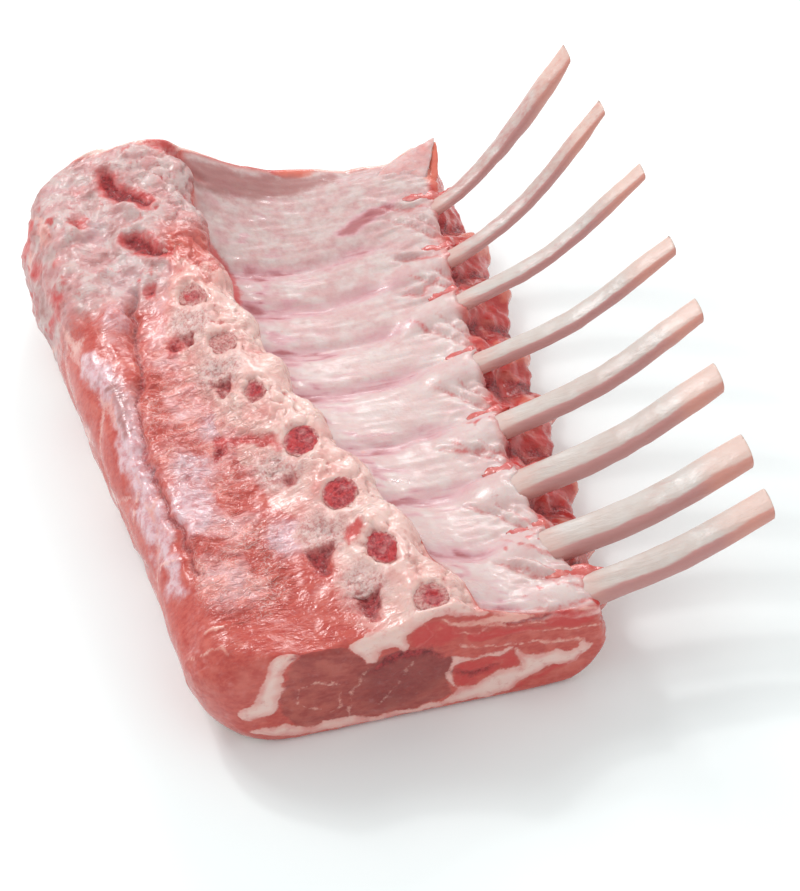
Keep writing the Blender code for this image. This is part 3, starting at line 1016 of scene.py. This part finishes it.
def face_masks(x, z):
    """The loin end's cut face: fat, the dark eye muscle, sinews, blood, a painted shadow under the
    overhanging fat, red lean and film.
    """

    def line(widths, *route):
        return stroke(x, z, route, widths)

    def area(*corners):
        return region(x, z, corners)

    lens = area(
        (-14, 19), (-9, 21), (-4, 21), (0, 20), (4, 22), (6, 18), (7, 13), (4, 13), (1, 14),
        (-2, 12), (-6, 9), (-12, 9),
    )
    fat = deepest(
        line((3.5, 2.8, 3.8, 3.8, 2), (-61, 42), (-68, 32), (-69, 24), (-71, 18), (-78, 15)),
        line(
            (1.2, 2.6, 1.6, 2.2, 1.1, 1.0),
            (-78, 7), (-66, 6), (-58, 3.5), (-50, 4.5), (-40, 2.5), (-18, 3),
        ),
        area(
            (-49, 52), (-46, 40), (-44, 35), (-41, 29), (-38, 29), (-37, 33), (-33, 34), (-29, 29),
            (-27, 32), (-28, 38), (-22, 41), (-15, 43), (-8, 40), (-3, 40), (-3, 52),
        ),
        area(
            (-15, 24), (-8, 22), (0, 22), (3, 23), (7, 20), (12, 17), (18, 18), (21, 16), (25, 17),
            (28, 20), (30, 17), (27, 13), (22, 10), (14, 10), (8, 6), (3, 3), (-6, 2), (-19, 3),
            (-12, 8), (-15, 15),
        ),
    )
    fat = np.minimum(fat, np.where(x > -16, -lens, 9))
    sinew = deepest(
        line((0.6, 0.4, 0.1), (-85, 40), (-84, 32), (-86, 24)),
        line(0.1, (-47, 5), (-46, 12), (-42, 22), (-40, 27)),
        line(0.1, (-50, 25), (-47, 20), (-48, 13), (-52, 10)),
        line(0.05, (-36, 10), (-30, 18), (-26, 26)),
        line(0.3, (-22, 41), (-20, 36), (-24, 31)),
        line((0.8, 1.5, 1.3, 1.8), (-14, 38), (-2, 36.5), (14, 35), (31, 33.5)),
        line(0.1, (-49, 22), (-54, 26), (-60, 24), (-61, 17), (-55, 13)),
        line(0.35, (-16, 41), (-13, 34), (-6, 32), (6, 29), (20, 26), (31, 25)),
        line(0.4, (-12, 28), (-4, 26), (4, 24), (14, 22), (28, 20)),
        line(0.35, (-6, 36), (2, 33), (14, 31), (27, 31)),
        line(0.3, (-10, 30), (-2, 34), (10, 35), (24, 36)),
    )
    blood_and_shade = deepest(
        # The eye painted darker round its upper middle.
        np.minimum(patch(x, z, (-27, 21), (17, 12), 30) * 0.45 - 2.0, -0.55),
        # A painted shadow under the overhanging fat, along the top of the eye.
        line((0.2, 1.8, 1.6, 0.4), (-40, 24), (-34, 28), (-25, 29), (-17, 26)),
        line((0.2, 1.0, 0.6), (-62, 37), (-55, 40), (-48, 38)),
        line((0.4, 1.0, 0.2), (-14, 17), (-8, 14), (0, 16)),
        line((0.1, 0.5, 0.1), (2, 34), (12, 33), (22, 33)),
    )
    eye = area(
        (-66, 13), (-66, 24), (-63, 32), (-60, 37), (-50, 40), (-45, 36), (-41, 29), (-30, 31),
        (-22, 28), (-15, 24), (-14, 14), (-14, 8), (-20, 4), (-40, 3), (-60, 5),
    )
    lean = deepest(
        lens,
        patch(x, z, (-20, 35), (8, 6), -15),
        patch(x, z, (22, 30), (8, 3.5), -8),
        line((2.0, 1.2, 0.6), (-8, 31), (4, 29.5), (14, 28)),
        line((0.6, 1.4, 1.0), (6, 4), (16, 8), (26, 13)),
    )
    from_top = np.interp(x, *zip(*FACE_TOP)) - z
    strands = 0.5 + 0.5 * np.sin(2.2 * from_top + 0.12 * x)
    film = smooth(6, 1, from_top) * smooth(-8, 2, x) * (0.6 + 0.7 * strands)
    fat = np.maximum(fat, np.where(x > -2, 1.2 * film - 1.2, OUTSIDE))
    tint = smooth(-1.0, 1.5, lean) + 0.5 * smooth(24, 32, z) * smooth(-20, -8, x) * (1 - film)
    return {"fat": fat, "eye": eye, "sinew": sinew, "blood_and_shade": blood_and_shade, "tint": tint, "film": film}


def far_rise(points):
    """How much the shoulder end's upper edge is raised at each point."""
    x, y, z = points.T
    reach = np.interp(x, (-50, -20), (34, 14))
    near_end = smooth(reach, 1, shoulder_face(x) - y) * smooth(16, 32, z)
    return np.interp(x, *zip(*FAR_RISE)) * near_end


# ---------------------------------------------------------------- shreds


class Ground:
    """The height of the finished meat, and of the ribs on it."""

    def __init__(self, points, faces, lines):
        self.tree = BVHTree.FromPolygons(points.tolist(), faces)
        self.lines = lines

    def height(self, x, y):
        found = self.tree.ray_cast(Vector((x, y, 90)), Vector((0, 0, -1)))[0]
        height = found.z if found else 0.0
        for line in self.lines:
            mid_y, mid_z, half_y, half_z = rib_at(line, x)
            across = (y - mid_y) / half_y
            if abs(across) < 1 and x > 8:
                height = max(height, mid_z + half_z * math.sqrt(1 - across**2))
        return height


def laid(ground, path):
    """A path of (x, y) places, made wavy and laid on the ground."""
    flat = path[:, [0, 1, 1]]
    path = path + 0.5 * np.stack([noise(flat, 4, 500), noise(flat, 4, 501)], axis=1)
    heights = np.array([ground.height(x, y) for x, y in path])
    heights = np.convolve(np.pad(heights, 2, "edge"), np.ones(5) / 5, "valid")
    return np.column_stack([path, heights + SHRED_LIFT])


def shred(ground, kind, route, widths, thick):
    """A flat shred along (x, y) or (x, y, z) places, with its half width at each: a part."""
    route = np.array(route, float)
    length = np.linalg.norm(np.diff(route, axis=0), axis=1).sum()
    t = np.linspace(0, 1, max(8, int(length / 0.6)))
    path = np.stack([along(values, t) for values in route.T], axis=1)
    if route.shape[1] == 2:
        path = laid(ground, path)
    width = np.maximum(np.interp(t, np.linspace(0, 1, len(widths)), widths), 0.1)
    ahead = np.gradient(path, axis=0)
    ahead /= np.linalg.norm(ahead, axis=1, keepdims=True)
    across = np.cross(ahead, (0, 0, 1))
    across /= np.linalg.norm(across, axis=1, keepdims=True)
    upward = np.cross(across, ahead)
    turns = np.linspace(0, 2 * math.pi, SHRED_SIDES, endpoint=False)
    wide = (width[:, None] * np.cos(turns))[..., None] * across[:, None]
    high = (width[:, None] * thick * np.sin(turns))[..., None] * upward[:, None]
    points, faces = loft(path[:, None] + wide - high)
    bend = 0.3 * fractal(points, 2.8, 510, 2)
    points = points + normals_of(points, faces) * bend[:, None]
    uneven = 1 + 0.5 * fractal(points, 4, 520, 2)
    return points, faces, {field: level * uneven for field, level in SHRED_KINDS[kind].items()}


def make_shreds(ground, lines, look):
    """Red shreds of meat beside the ribs' bases, and the far corner's flap."""
    shreds = []
    chance = random.Random(4)
    for base, line, mid_y in zip(BASE_X, lines, rib_middles(lines)):
        half = rib_at(line, base)[2]
        if mid_y + half > LAST_SHRED_Y:
            continue
        for start, reach, width in RED_SHREDS:
            x = base + start + chance.uniform(-1, 1)
            y = mid_y + half + chance.uniform(1.0, 2.5)
            middle = (x + 0.5 * reach, y + chance.uniform(-0.4, 0.8))
            route = ((x, y), middle, (x + reach, y - 1.6))
            shreds.append(shred(ground, "red", route, (0.8, width, 0.9 * width, 0.5), 0.22))
    shreds.append(shred(ground, "flap", FLAP, (8, 9, 5, 0.3), 0.11))
    shreds.append(shred(ground, "lean", FLAP_EDGE, (0.4, 1.7, 1.5, 0.3), 0.25))
    make_piece("membrane_shreds", shreds, MEAT_FIELDS, look, "meat")


# ---------------------------------------------------------------- materials


def linear(colour):
    """A colour as a shader takes it, from the usual 0 to 255 values."""
    shares = [value / 255 for value in colour]
    return (*(s / 12.92 if s <= 0.04045 else ((s + 0.055) / 1.055) ** 2.4 for s in shares), 1.0)


class Look:
    """A material, with short calls that add nodes to it. Sizes are in millimetres."""

    def __init__(self, name, noises):
        self.material = bpy.data.materials.new(name)
        self.material.use_nodes = True
        self.tree = self.material.node_tree
        self.shader = self.tree.nodes["Principled BSDF"]
        where = self.make("TexCoord", "Object")
        self.mm = self.make("VectorMath", 0, {0: where, "Scale": 1 / MM}, operation="SCALE")
        for name, settings in noises.items():
            setattr(self, name, self.noise(*settings))

    def make(self, kind, output, inputs=None, **settings):
        """The output of a new node of a kind, with these inputs and settings."""
        made = self.tree.nodes.new("ShaderNode" + kind)
        for key, value in settings.items():
            setattr(made, key, value)
        for key, value in (inputs or {}).items():
            self.put(made.inputs[key], value)
        return made.outputs[output]

    def put(self, socket, value):
        if isinstance(value, bpy.types.NodeSocket):
            self.tree.links.new(value, socket)
        elif socket.type == "RGBA":
            socket.default_value = linear(value)
        else:
            socket.default_value = value

    def field(self, name):
        return self.make("Attribute", "Fac", attribute_name=name)

    def noise(self, size, detail=2.0, rough=0.5, stretch=None, twist=0.0):
        inputs = {"Scale": 1 / size, "Detail": detail, "Roughness": rough, "Distortion": twist}
        inputs["Vector"] = self.mm
        if stretch:
            given = {0: self.mm, 1: stretch}
            inputs["Vector"] = self.make("VectorMath", 0, given, operation="DIVIDE")
        return self.make("TexNoise", "Fac", inputs)

    def cells(self, size):
        return self.make("TexVoronoi", "Distance", {"Vector": self.mm, "Scale": 1 / size})

    def creases(self, size):
        """Crumpled film: 0 in thin creases, rising to about 0.6 between them."""
        lumps = self.noise(size, 1.5, 0.5, (1.5, 0.8, 1.0), 1.0)
        return self.maths("ABSOLUTE", self.maths("MULTIPLY_ADD", lumps, 2.0, -1.0))

    def maths(self, operation, *values):
        return self.make("Math", 0, dict(enumerate(values)), operation=operation)

    def product(self, first, *others):
        for other in others:
            first = self.maths("MULTIPLY", first, other)
        return first

    def uneven(self, value, grain, amount, shift=None):
        """A value or a named field, made uneven by this amount of a noise."""
        if isinstance(value, str):
            value = self.field(value)
        shift = -amount / 2 if shift is None else shift
        return self.maths("ADD", value, self.maths("MULTIPLY_ADD", grain, amount, shift))

    def ramp(self, *values):
        """From start to end as a value goes from low to high: value, low, high, start and end."""
        return self.make("MapRange", 0, dict(enumerate(values)), interpolation_type="SMOOTHSTEP")

    def mix(self, share, a, b):
        return self.make("Mix", "Result", {"Factor": share, "A": a, "B": b}, data_type="RGBA")

    def lay(self, under, over, value, low, high, most=1.0):
        """One colour laid over another, more and more as the value goes from low to high."""
        return self.mix(self.ramp(value, low, high, 0.0, most), under, over)

    def bump(self, height, depth, **normal):
        return self.make("Bump", "Normal", {"Height": height, "Distance": depth * MM, **normal})

    def surface(self, colour, roughness, normal, **settings):
        settings.update(Base_Color=colour, Roughness=roughness, Normal=normal)
        for name, value in settings.items():
            self.put(self.shader.inputs[name.replace("_", " ")], value)
        return self.material


def lean_colour(look):
    """Lean, and the dark eye muscle."""
    red = look.lay((182, 66, 58), (198, 88, 76), look.fibre, 0.3, 0.7)
    red = look.lay(red, (214, 120, 106), look.patches, 0.45, 0.75, 0.5)
    eye = look.lay((150, 54, 48), (174, 78, 68), look.fibre, 0.3, 0.75)
    eye = look.lay(eye, (190, 98, 84), look.patches, 0.4, 0.7, 0.6)
    # The eye darker where the blood field is: blood, and the painted shadow under the face's fat.
    darkened = look.uneven("blood_and_shade", look.patches, 3.0)
    eye = look.lay(eye, (124, 42, 40), darkened, -3.4, -0.2, 0.62)
    return look.lay(red, eye, look.uneven("eye", look.speck, 1.6), -0.6, 0.8)


def add_film(look, colour):
    """Film and silverskin over a colour, red in the troughs of wrinkles, and painted highlights on
    their crests.
    """
    film = look.uneven(look.uneven("film", look.fibre, 0.35, -0.17), look.crinkle, 0.8)
    veil = look.lay((232, 184, 184), (230, 158, 150), look.patches, 0.35, 0.65)
    colour = look.lay(colour, veil, film, 0.0, 1.2, 0.92)
    # Silverskin's lilac-white: partly its own colour, partly a painted reflection.
    cold = look.lay((208, 162, 168), (226, 200, 207), look.mottle, 0.35, 0.6)
    colour = look.lay(colour, cold, look.uneven("silver", look.mottle, 0.9), 0.0, 1.2, 0.88)
    trough = look.product(look.ramp(look.crinkle, 0.3, 0.6), look.wrinkle, 0.4)
    colour = look.mix(trough, colour, (212, 92, 86))
    # Painted glints: pale pink-white laid on the wrinkles' crests, in patches.
    patchy = look.ramp(look.patches, 0.4, 0.6, 0.05, 0.45)
    painted_glint = look.product(look.ramp(look.fine_crinkle, 0.12, 0.0), look.wrinkle, patchy)
    return look.mix(painted_glint, colour, (246, 216, 212))


def add_lining(look, colour):
    """The rib lining and the ashen shoulder end over a colour, and the lining's bands."""
    pale = look.lay((212, 194, 190), (208, 178, 175), look.patches, 0.3, 0.7)
    pale = look.lay(pale, (200, 154, 156), look.mottle, 0.5, 0.75, 0.25)
    colour = look.mix(look.lining, colour, pale)
    off_lining = look.maths("SUBTRACT", 1.0, look.lining)
    darkened = look.product(look.ramp(look.mottle, 0.5, 0.7, 0, 0.6), off_lining)
    ashen = look.lay((197, 180, 176), (192, 146, 146), look.patches, 0.35, 0.65)
    ashen = look.mix(darkened, ashen, (178, 100, 103))
    share = look.ramp(look.uneven("pale", look.mottle, 0.8), 0.1, 0.9, 0, 0.85)
    weaker = look.maths("MULTIPLY_ADD", look.lining, -0.3, 1.0)
    colour = look.mix(look.product(share, weaker), colour, ashen)
    streaks = look.product(look.ramp(look.streaks, 0.5, 0.75, 0, 0.35), look.lining)
    band = look.maths("ADD", look.uneven("band", look.mottle, 0.4), streaks)
    pink = look.lay((206, 154, 162), (162, 74, 82), band, 0.8, 1.8)
    return look.lay(colour, pink, band, 0.1, 1.3, 0.9)


def add_fat(look, colour):
    """Cream fat over a colour."""
    cream = look.lay((226, 176, 167), (216, 144, 137), look.patches, 0.35, 0.7)
    cream = look.lay(cream, (233, 204, 195), look.field("fat"), 0.6, 3.0, 0.8)
    cream = look.lay(cream, (212, 142, 136), look.mottle, 0.52, 0.75, 0.6)
    return look.lay(colour, cream, look.uneven("fat", look.speck, 1.6), -0.5, 0.5)


def meat_look():
    """Lean under film, lining and fat, then rough bone, stains, blood and painted shade, from the
    meat's fields.
    """
    look = Look("raw_meat", MEAT_NOISES)
    look.crinkle, look.fine_crinkle = look.creases(3.8), look.creases(1.9)
    look.lining, look.wrinkle = look.field("lining"), look.field("wrinkle")
    colour = lean_colour(look)
    for add in (add_film, add_lining, add_fat):
        colour = add(look, colour)
    bone_share = look.ramp(look.uneven("grain", look.speck, 1.6), -1.5, 3.5, 0, 0.85)
    colour = look.mix(bone_share, colour, look.lay(*ROUGH_BONE, look.grains, 0.38, 0.58))
    for name, amount, shift, low, high, most, stain in STAINS:
        stained = look.uneven(name, look.mottle, amount, shift)
        colour = look.lay(colour, stain, stained, low, high, most)
    # Blood, and painted shade in the rim's pockets and under the cut face's fat, in dark red.
    blood_and_shade = look.lay((112, 10, 20), (182, 50, 55), look.grains, 0.36, 0.64)
    blood_and_shade_share = look.ramp(look.uneven("blood_and_shade", look.speck, 1.6), -1.0, 1.2, 0, 0.92)
    colour = look.mix(blood_and_shade_share, colour, blood_and_shade)

    rough = look.ramp(look.noise(3), 0.3, 0.7, 0.14, 0.27)
    for name, amount in (("pale", 0.22), ("lining", 0.14), ("wrinkle", -0.02), ("wet", -0.2)):
        rough = look.maths("MULTIPLY_ADD", look.field(name), amount, rough)
    off_lining = look.maths("MULTIPLY_ADD", look.lining, -0.75, 1.0)
    amount = look.product(look.maths("MULTIPLY_ADD", look.wrinkle, 0.88, 0.12), off_lining)
    normal = look.bump(look.product(look.crinkle, amount), -0.95)
    normal = look.bump(look.product(look.fine_crinkle, amount), -0.35, Normal=normal)
    crumbs = look.product(look.grains, look.maths("MAXIMUM", bone_share, blood_and_shade_share))
    skin = look.product(look.maths("ADD", look.speck, look.mottle), 0.35)
    normal = look.bump(look.maths("MULTIPLY_ADD", crumbs, 4.0, skin), 0.2, Normal=normal)
    return look.surface(
        colour, rough, normal,
        Subsurface_Weight=0.25, Subsurface_Radius=(2.4, 0.9, 0.6), Subsurface_Scale=MM,
        Specular_IOR_Level=0.45, Coat_Weight=0.15, Coat_Roughness=0.12,
    )


def marrow_colour(look):
    """A sawn bone end's marrow: pale and fresh, or dark where the field says."""
    dark = look.lay((156, 28, 42), (204, 84, 88), look.fine_grains, 0.34, 0.66)
    dark = look.lay(dark, (206, 44, 48), look.clumps, 0.5, 0.62, 0.7)
    dark = look.lay(dark, (206, 130, 128), look.clumps, 0.46, 0.36, 0.55)
    dark = look.lay(dark, (230, 170, 160), look.cells(0.9), 0.16, 0.06, 0.6)
    fresh = look.lay((196, 108, 106), (222, 172, 164), look.fine_grains, 0.36, 0.64)
    return look.lay(fresh, dark, look.uneven("dark", look.grains, 1.2), 0.2, 0.75)


def bone_look():
    """Bone with a lower side painted darker and ruddier, partly its own colour and partly painted
    shade, a ruddy tip, and marrow and rough bone where it is sawn.
    """
    look = Look("rib_bone", BONE_NOISES)
    streaks, patches, grains = look.streaks, look.patches, look.grains
    lower = look.uneven("lower", streaks, 1.0)
    colour = look.lay((202, 194, 188), (194, 178, 170), patches, 0.3, 0.7)
    colour = look.lay(colour, (194, 156, 150), streaks, 0.5, 0.8, 0.4)
    # The lower side darker and ruddier: partly the bone's own colour, partly painted shade.
    colour = look.lay(colour, (188, 128, 124), lower, 0.1, 0.8, 0.9)
    tip = look.lay((221, 189, 177), (214, 150, 134), lower, 0.2, 0.9)
    colour = look.lay(colour, tip, look.uneven("tip", patches, 0.8), 0.1, 1.1, 0.8)
    colour = look.lay(colour, (208, 158, 146), look.uneven("base", streaks, 0.9), 0.1, 1.3, 0.5)
    colour = look.mix(look.field("marrow"), colour, marrow_colour(look))
    colour = look.mix(look.field("crumb"), colour, look.lay(*ROUGH_BONE, grains, 0.38, 0.58))
    sawn = look.maths("ADD", look.field("marrow"), look.field("crumb"))
    height = look.maths("MULTIPLY_ADD", look.product(grains, sawn), 3.0, streaks)
    return look.surface(
        colour, look.ramp(patches, 0.3, 0.7, 0.28, 0.42), look.bump(height, 0.35),
        Subsurface_Weight=0.15, Subsurface_Radius=(2.0, 1.2, 0.9), Subsurface_Scale=MM,
        Coat_Weight=0.1, Coat_Roughness=0.2,
    )


# ---------------------------------------------------------------- the pieces and the stage


def make_meat():
    """Makes the meat and its shreds. Returns the spots of the rib heads and vertebra stubs."""
    points, faces, places = meat_surface()
    normals = normals_of(points, faces)
    heads, stubs = (
        [Spot(points, normals, place) for place in found] for found in (rib_heads(), stub_places())
    )
    skin = Skin(points, places)
    lines = rib_lines()
    shape_back(skin)
    shape_hump(skin)
    shape_flank(skin)
    shape_ridge(skin, heads, stubs)
    shape_lining(skin, lines)
    shape_rim(skin, lines)
    shape_ends(skin)
    points = points + normals * skin.relief[:, None]
    points[:, 2] = np.maximum(points[:, 2] + far_rise(points), 0)
    look = meat_look()
    body = (points, faces, skin.fields())
    make_piece("meat_body", [body], MEAT_FIELDS, look, "meat", "meat")
    make_shreds(Ground(points, faces, lines), lines, look)
    return heads, stubs


def rib_shaft(number):
    """A rib from inside the lining to its tip: a part."""
    base, bow, flare = (values[number - 1] for values in (BASE_X, RIB_BOW, RIB_FLARE))
    tip = node_points(f"rib_{number}")[:, 0].max()
    cuts = np.linspace(base - HIDDEN_BONE, tip - TIP_GAP, BONE_RINGS)
    middles, halves = slice_node(f"rib_{number}", cuts)
    share = smooth(0, 1, (cuts - base) / (tip - base))
    middles[:, 1] += bow * np.sin(math.pi * share)
    halves *= 1 + flare * share[:, None]
    turns = np.linspace(0, 2 * math.pi, BONE_SIDES, endpoint=False)
    waves = np.stack([np.cos(turns), np.sin(turns)], axis=1)
    squared = np.sign(waves) * np.abs(waves) ** BONE_SQUARENESS
    rings = np.zeros((BONE_RINGS, BONE_SIDES, 3))
    rings[..., 0] = cuts[:, None]
    rings[..., 1:] = middles[:, None] + halves[:, None] * squared
    inner = [mix(rings[-1].mean(axis=0), rings[-1], size) for size in TIP_RINGS]
    points, faces = loft(np.concatenate([rings, inner]))
    facing = np.concatenate([np.tile(turns, BONE_RINGS + len(TIP_RINGS)), [0, 0]])
    relief = 0.22 * fractal(points, 9, 200 + number, 3, (2, 1, 1))
    relief += 0.08 * noise(points, 2.2, 210, (3, 1, 1))
    relief += 0.35 * bell(facing - 2.35, 0.12) * noise(points, 12, 220 + number, (2, 1, 1))
    points = points + normals_of(points, faces) * relief[:, None]
    # The lower side, by which way the surface faces: painted darker and ruddier in the look, partly
    # the bone's own colour and partly painted shade.
    edge = 2.12 + 0.15 * noise(points, 14, 230 + number)
    lower = smooth(edge - 0.15, edge + 0.3, facing) * smooth(5.6, 5.0, facing)
    fields = {
        "tip": smooth(tip - 26, tip - 4, points[:, 0]),
        "base": smooth(base + 9, base - 1, points[:, 0]),
        "lower": np.maximum(lower, 0.42 * smooth(4, 8, number)),
    }
    return points, faces, fields


def sawn_plug(spot, radii, turn, seed):
    """A bone end set in the meat, rough where it was sawn: points, faces, depth inside its rim."""
    turns = np.linspace(0, 2 * math.pi, PLUG_SIDES, endpoint=False)
    shares = np.array([1, 1, 1, *np.linspace(0.98, 0.04, PLUG_RINGS)])
    levels = np.array([-9, -3, -1.6, *([-1.0] * PLUG_RINGS)])
    a = np.outer(shares, radii[0] * np.cos(turns))
    b = np.outer(shares, radii[1] * np.sin(turns))
    angle = math.radians(turn)
    across = a * math.cos(angle) - b * math.sin(angle)
    ahead = a * math.sin(angle) + b * math.cos(angle)
    points, faces = loft(spot.at(across, ahead, np.repeat(levels[:, None], PLUG_SIDES, axis=1)))
    depth = np.repeat((1 - shares) * min(radii), PLUG_SIDES)
    depth = np.concatenate([depth, [-1, min(radii)]])
    top = np.concatenate([np.repeat(levels > -1.5, PLUG_SIDES), [False, True]])
    nearest, _ = cells(points, 1.3, seed)
    relief = 0.7 * (nearest - 0.45) + 0.5 * noise(points, 3.0, seed + 1)
    relief += 0.4 * noise(points, 1.4, seed + 2)
    relief = np.where(top, relief * smooth(-0.2, 0.8, depth), 0)
    return points + spot.outward * relief[:, None], faces, np.where(top, depth, -1)


def make_rib(number, spot, shape, look):
    """A rib, and its sawn head on the crest."""
    radii, turn, dark = shape
    wider = [radius + HEAD_OVERLAP for radius in radii]
    points, faces, depth = sawn_plug(spot, wider, turn, 300 + number)
    centre = smooth(0.8, 3.2, depth + 1.2 * noise(points, 3, 320 + number))
    level = (dark + 0.6 * centre) * smooth(-0.6, 1.6, depth + 0.8 * noise(points, 2, 310 + number))
    head = (points, faces, {"marrow": 1, "dark": level})
    parts = (rib_shaft(number), head)
    make_piece(f"rib_bone_{number}", parts, BONE_FIELDS, look, "bone", f"rib_{number}")


def make_stub(number, spot, look):
    """The sawn stub of a vertebra."""
    points, faces, depth = sawn_plug(spot, STUB_RADII, STUB_TURN, 400 + number)
    lump = 0.9 * noise(points, 4, 420 + number) + 0.45
    points = points + spot.outward * (lump * smooth(0, 2.5, depth))[:, None]
    points = points + spot.ahead * STUB_SET_BACK
    parts = [(points, faces, {"crumb": 1})]
    node = f"chine_stub_{number}"
    make_piece(f"vertebra_stub_{number}", parts, BONE_FIELDS, look, "bone", node)


def make_stage():
    """The floor, the white surroundings, the lights and the camera."""
    signs = ((-1, -1), (1, -1), (1, 1), (-1, 1))
    corners = [(a * FLOOR_REACH, b * FLOOR_REACH, FLOOR_Z) for a, b in signs]
    floor = make_mesh("floor", corners, [[0, 1, 2, 3]])
    look = Look("floor", {})
    tone = look.mix(look.noise(400, 1), (241, 249, 249), (245, 252, 252))
    floor.data.materials.append(look.surface(tone, 0.6, look.bump(look.noise(300), 0.01)))

    world = bpy.data.worlds.new("studio")
    bpy.context.scene.world = world
    world.use_nodes = True
    world.node_tree.nodes["Background"].inputs["Color"].default_value = (1.0, 1.0, 1.0, 1.0)
    world.node_tree.nodes["Background"].inputs["Strength"].default_value = WORLD_STRENGTH

    for name, place, size, power in LIGHTS:
        light = bpy.data.lights.new(name, "AREA")
        light.size = size
        light.energy = power
        stand(name, light, Vector(place))

    camera = bpy.data.cameras.new("camera")
    camera.lens = CAMERA_LENS
    camera.sensor_width = CAMERA_SENSOR
    azimuth, elevation = math.radians(CAMERA_AZIMUTH), math.radians(CAMERA_ELEVATION)
    flat = Vector((math.sin(azimuth), -math.cos(azimuth), 0)) * math.cos(elevation)
    place = (flat + Vector((0, 0, math.sin(elevation)))) * CAMERA_DISTANCE
    bpy.context.scene.camera = stand("camera", camera, place)
    bpy.context.scene.view_settings.view_transform = "Standard"


def stand(name, data, place):
    """A light or the camera at a place, facing the middle of the scene."""
    made = bpy.data.objects.new(name, data)
    made.location = place
    made.rotation_euler = place.to_track_quat("Z", "Y").to_euler()
    bpy.context.scene.collection.objects.link(made)
    return made


def main():
    heads, stubs = make_meat()
    bone = bone_look()
    for number, (spot, shape) in enumerate(zip(heads, HEAD_SHAPES), start=1):
        make_rib(number, spot, shape, bone)
    for number, spot in enumerate(stubs, start=1):
        make_stub(number, spot, bone)
    make_stage()


main()
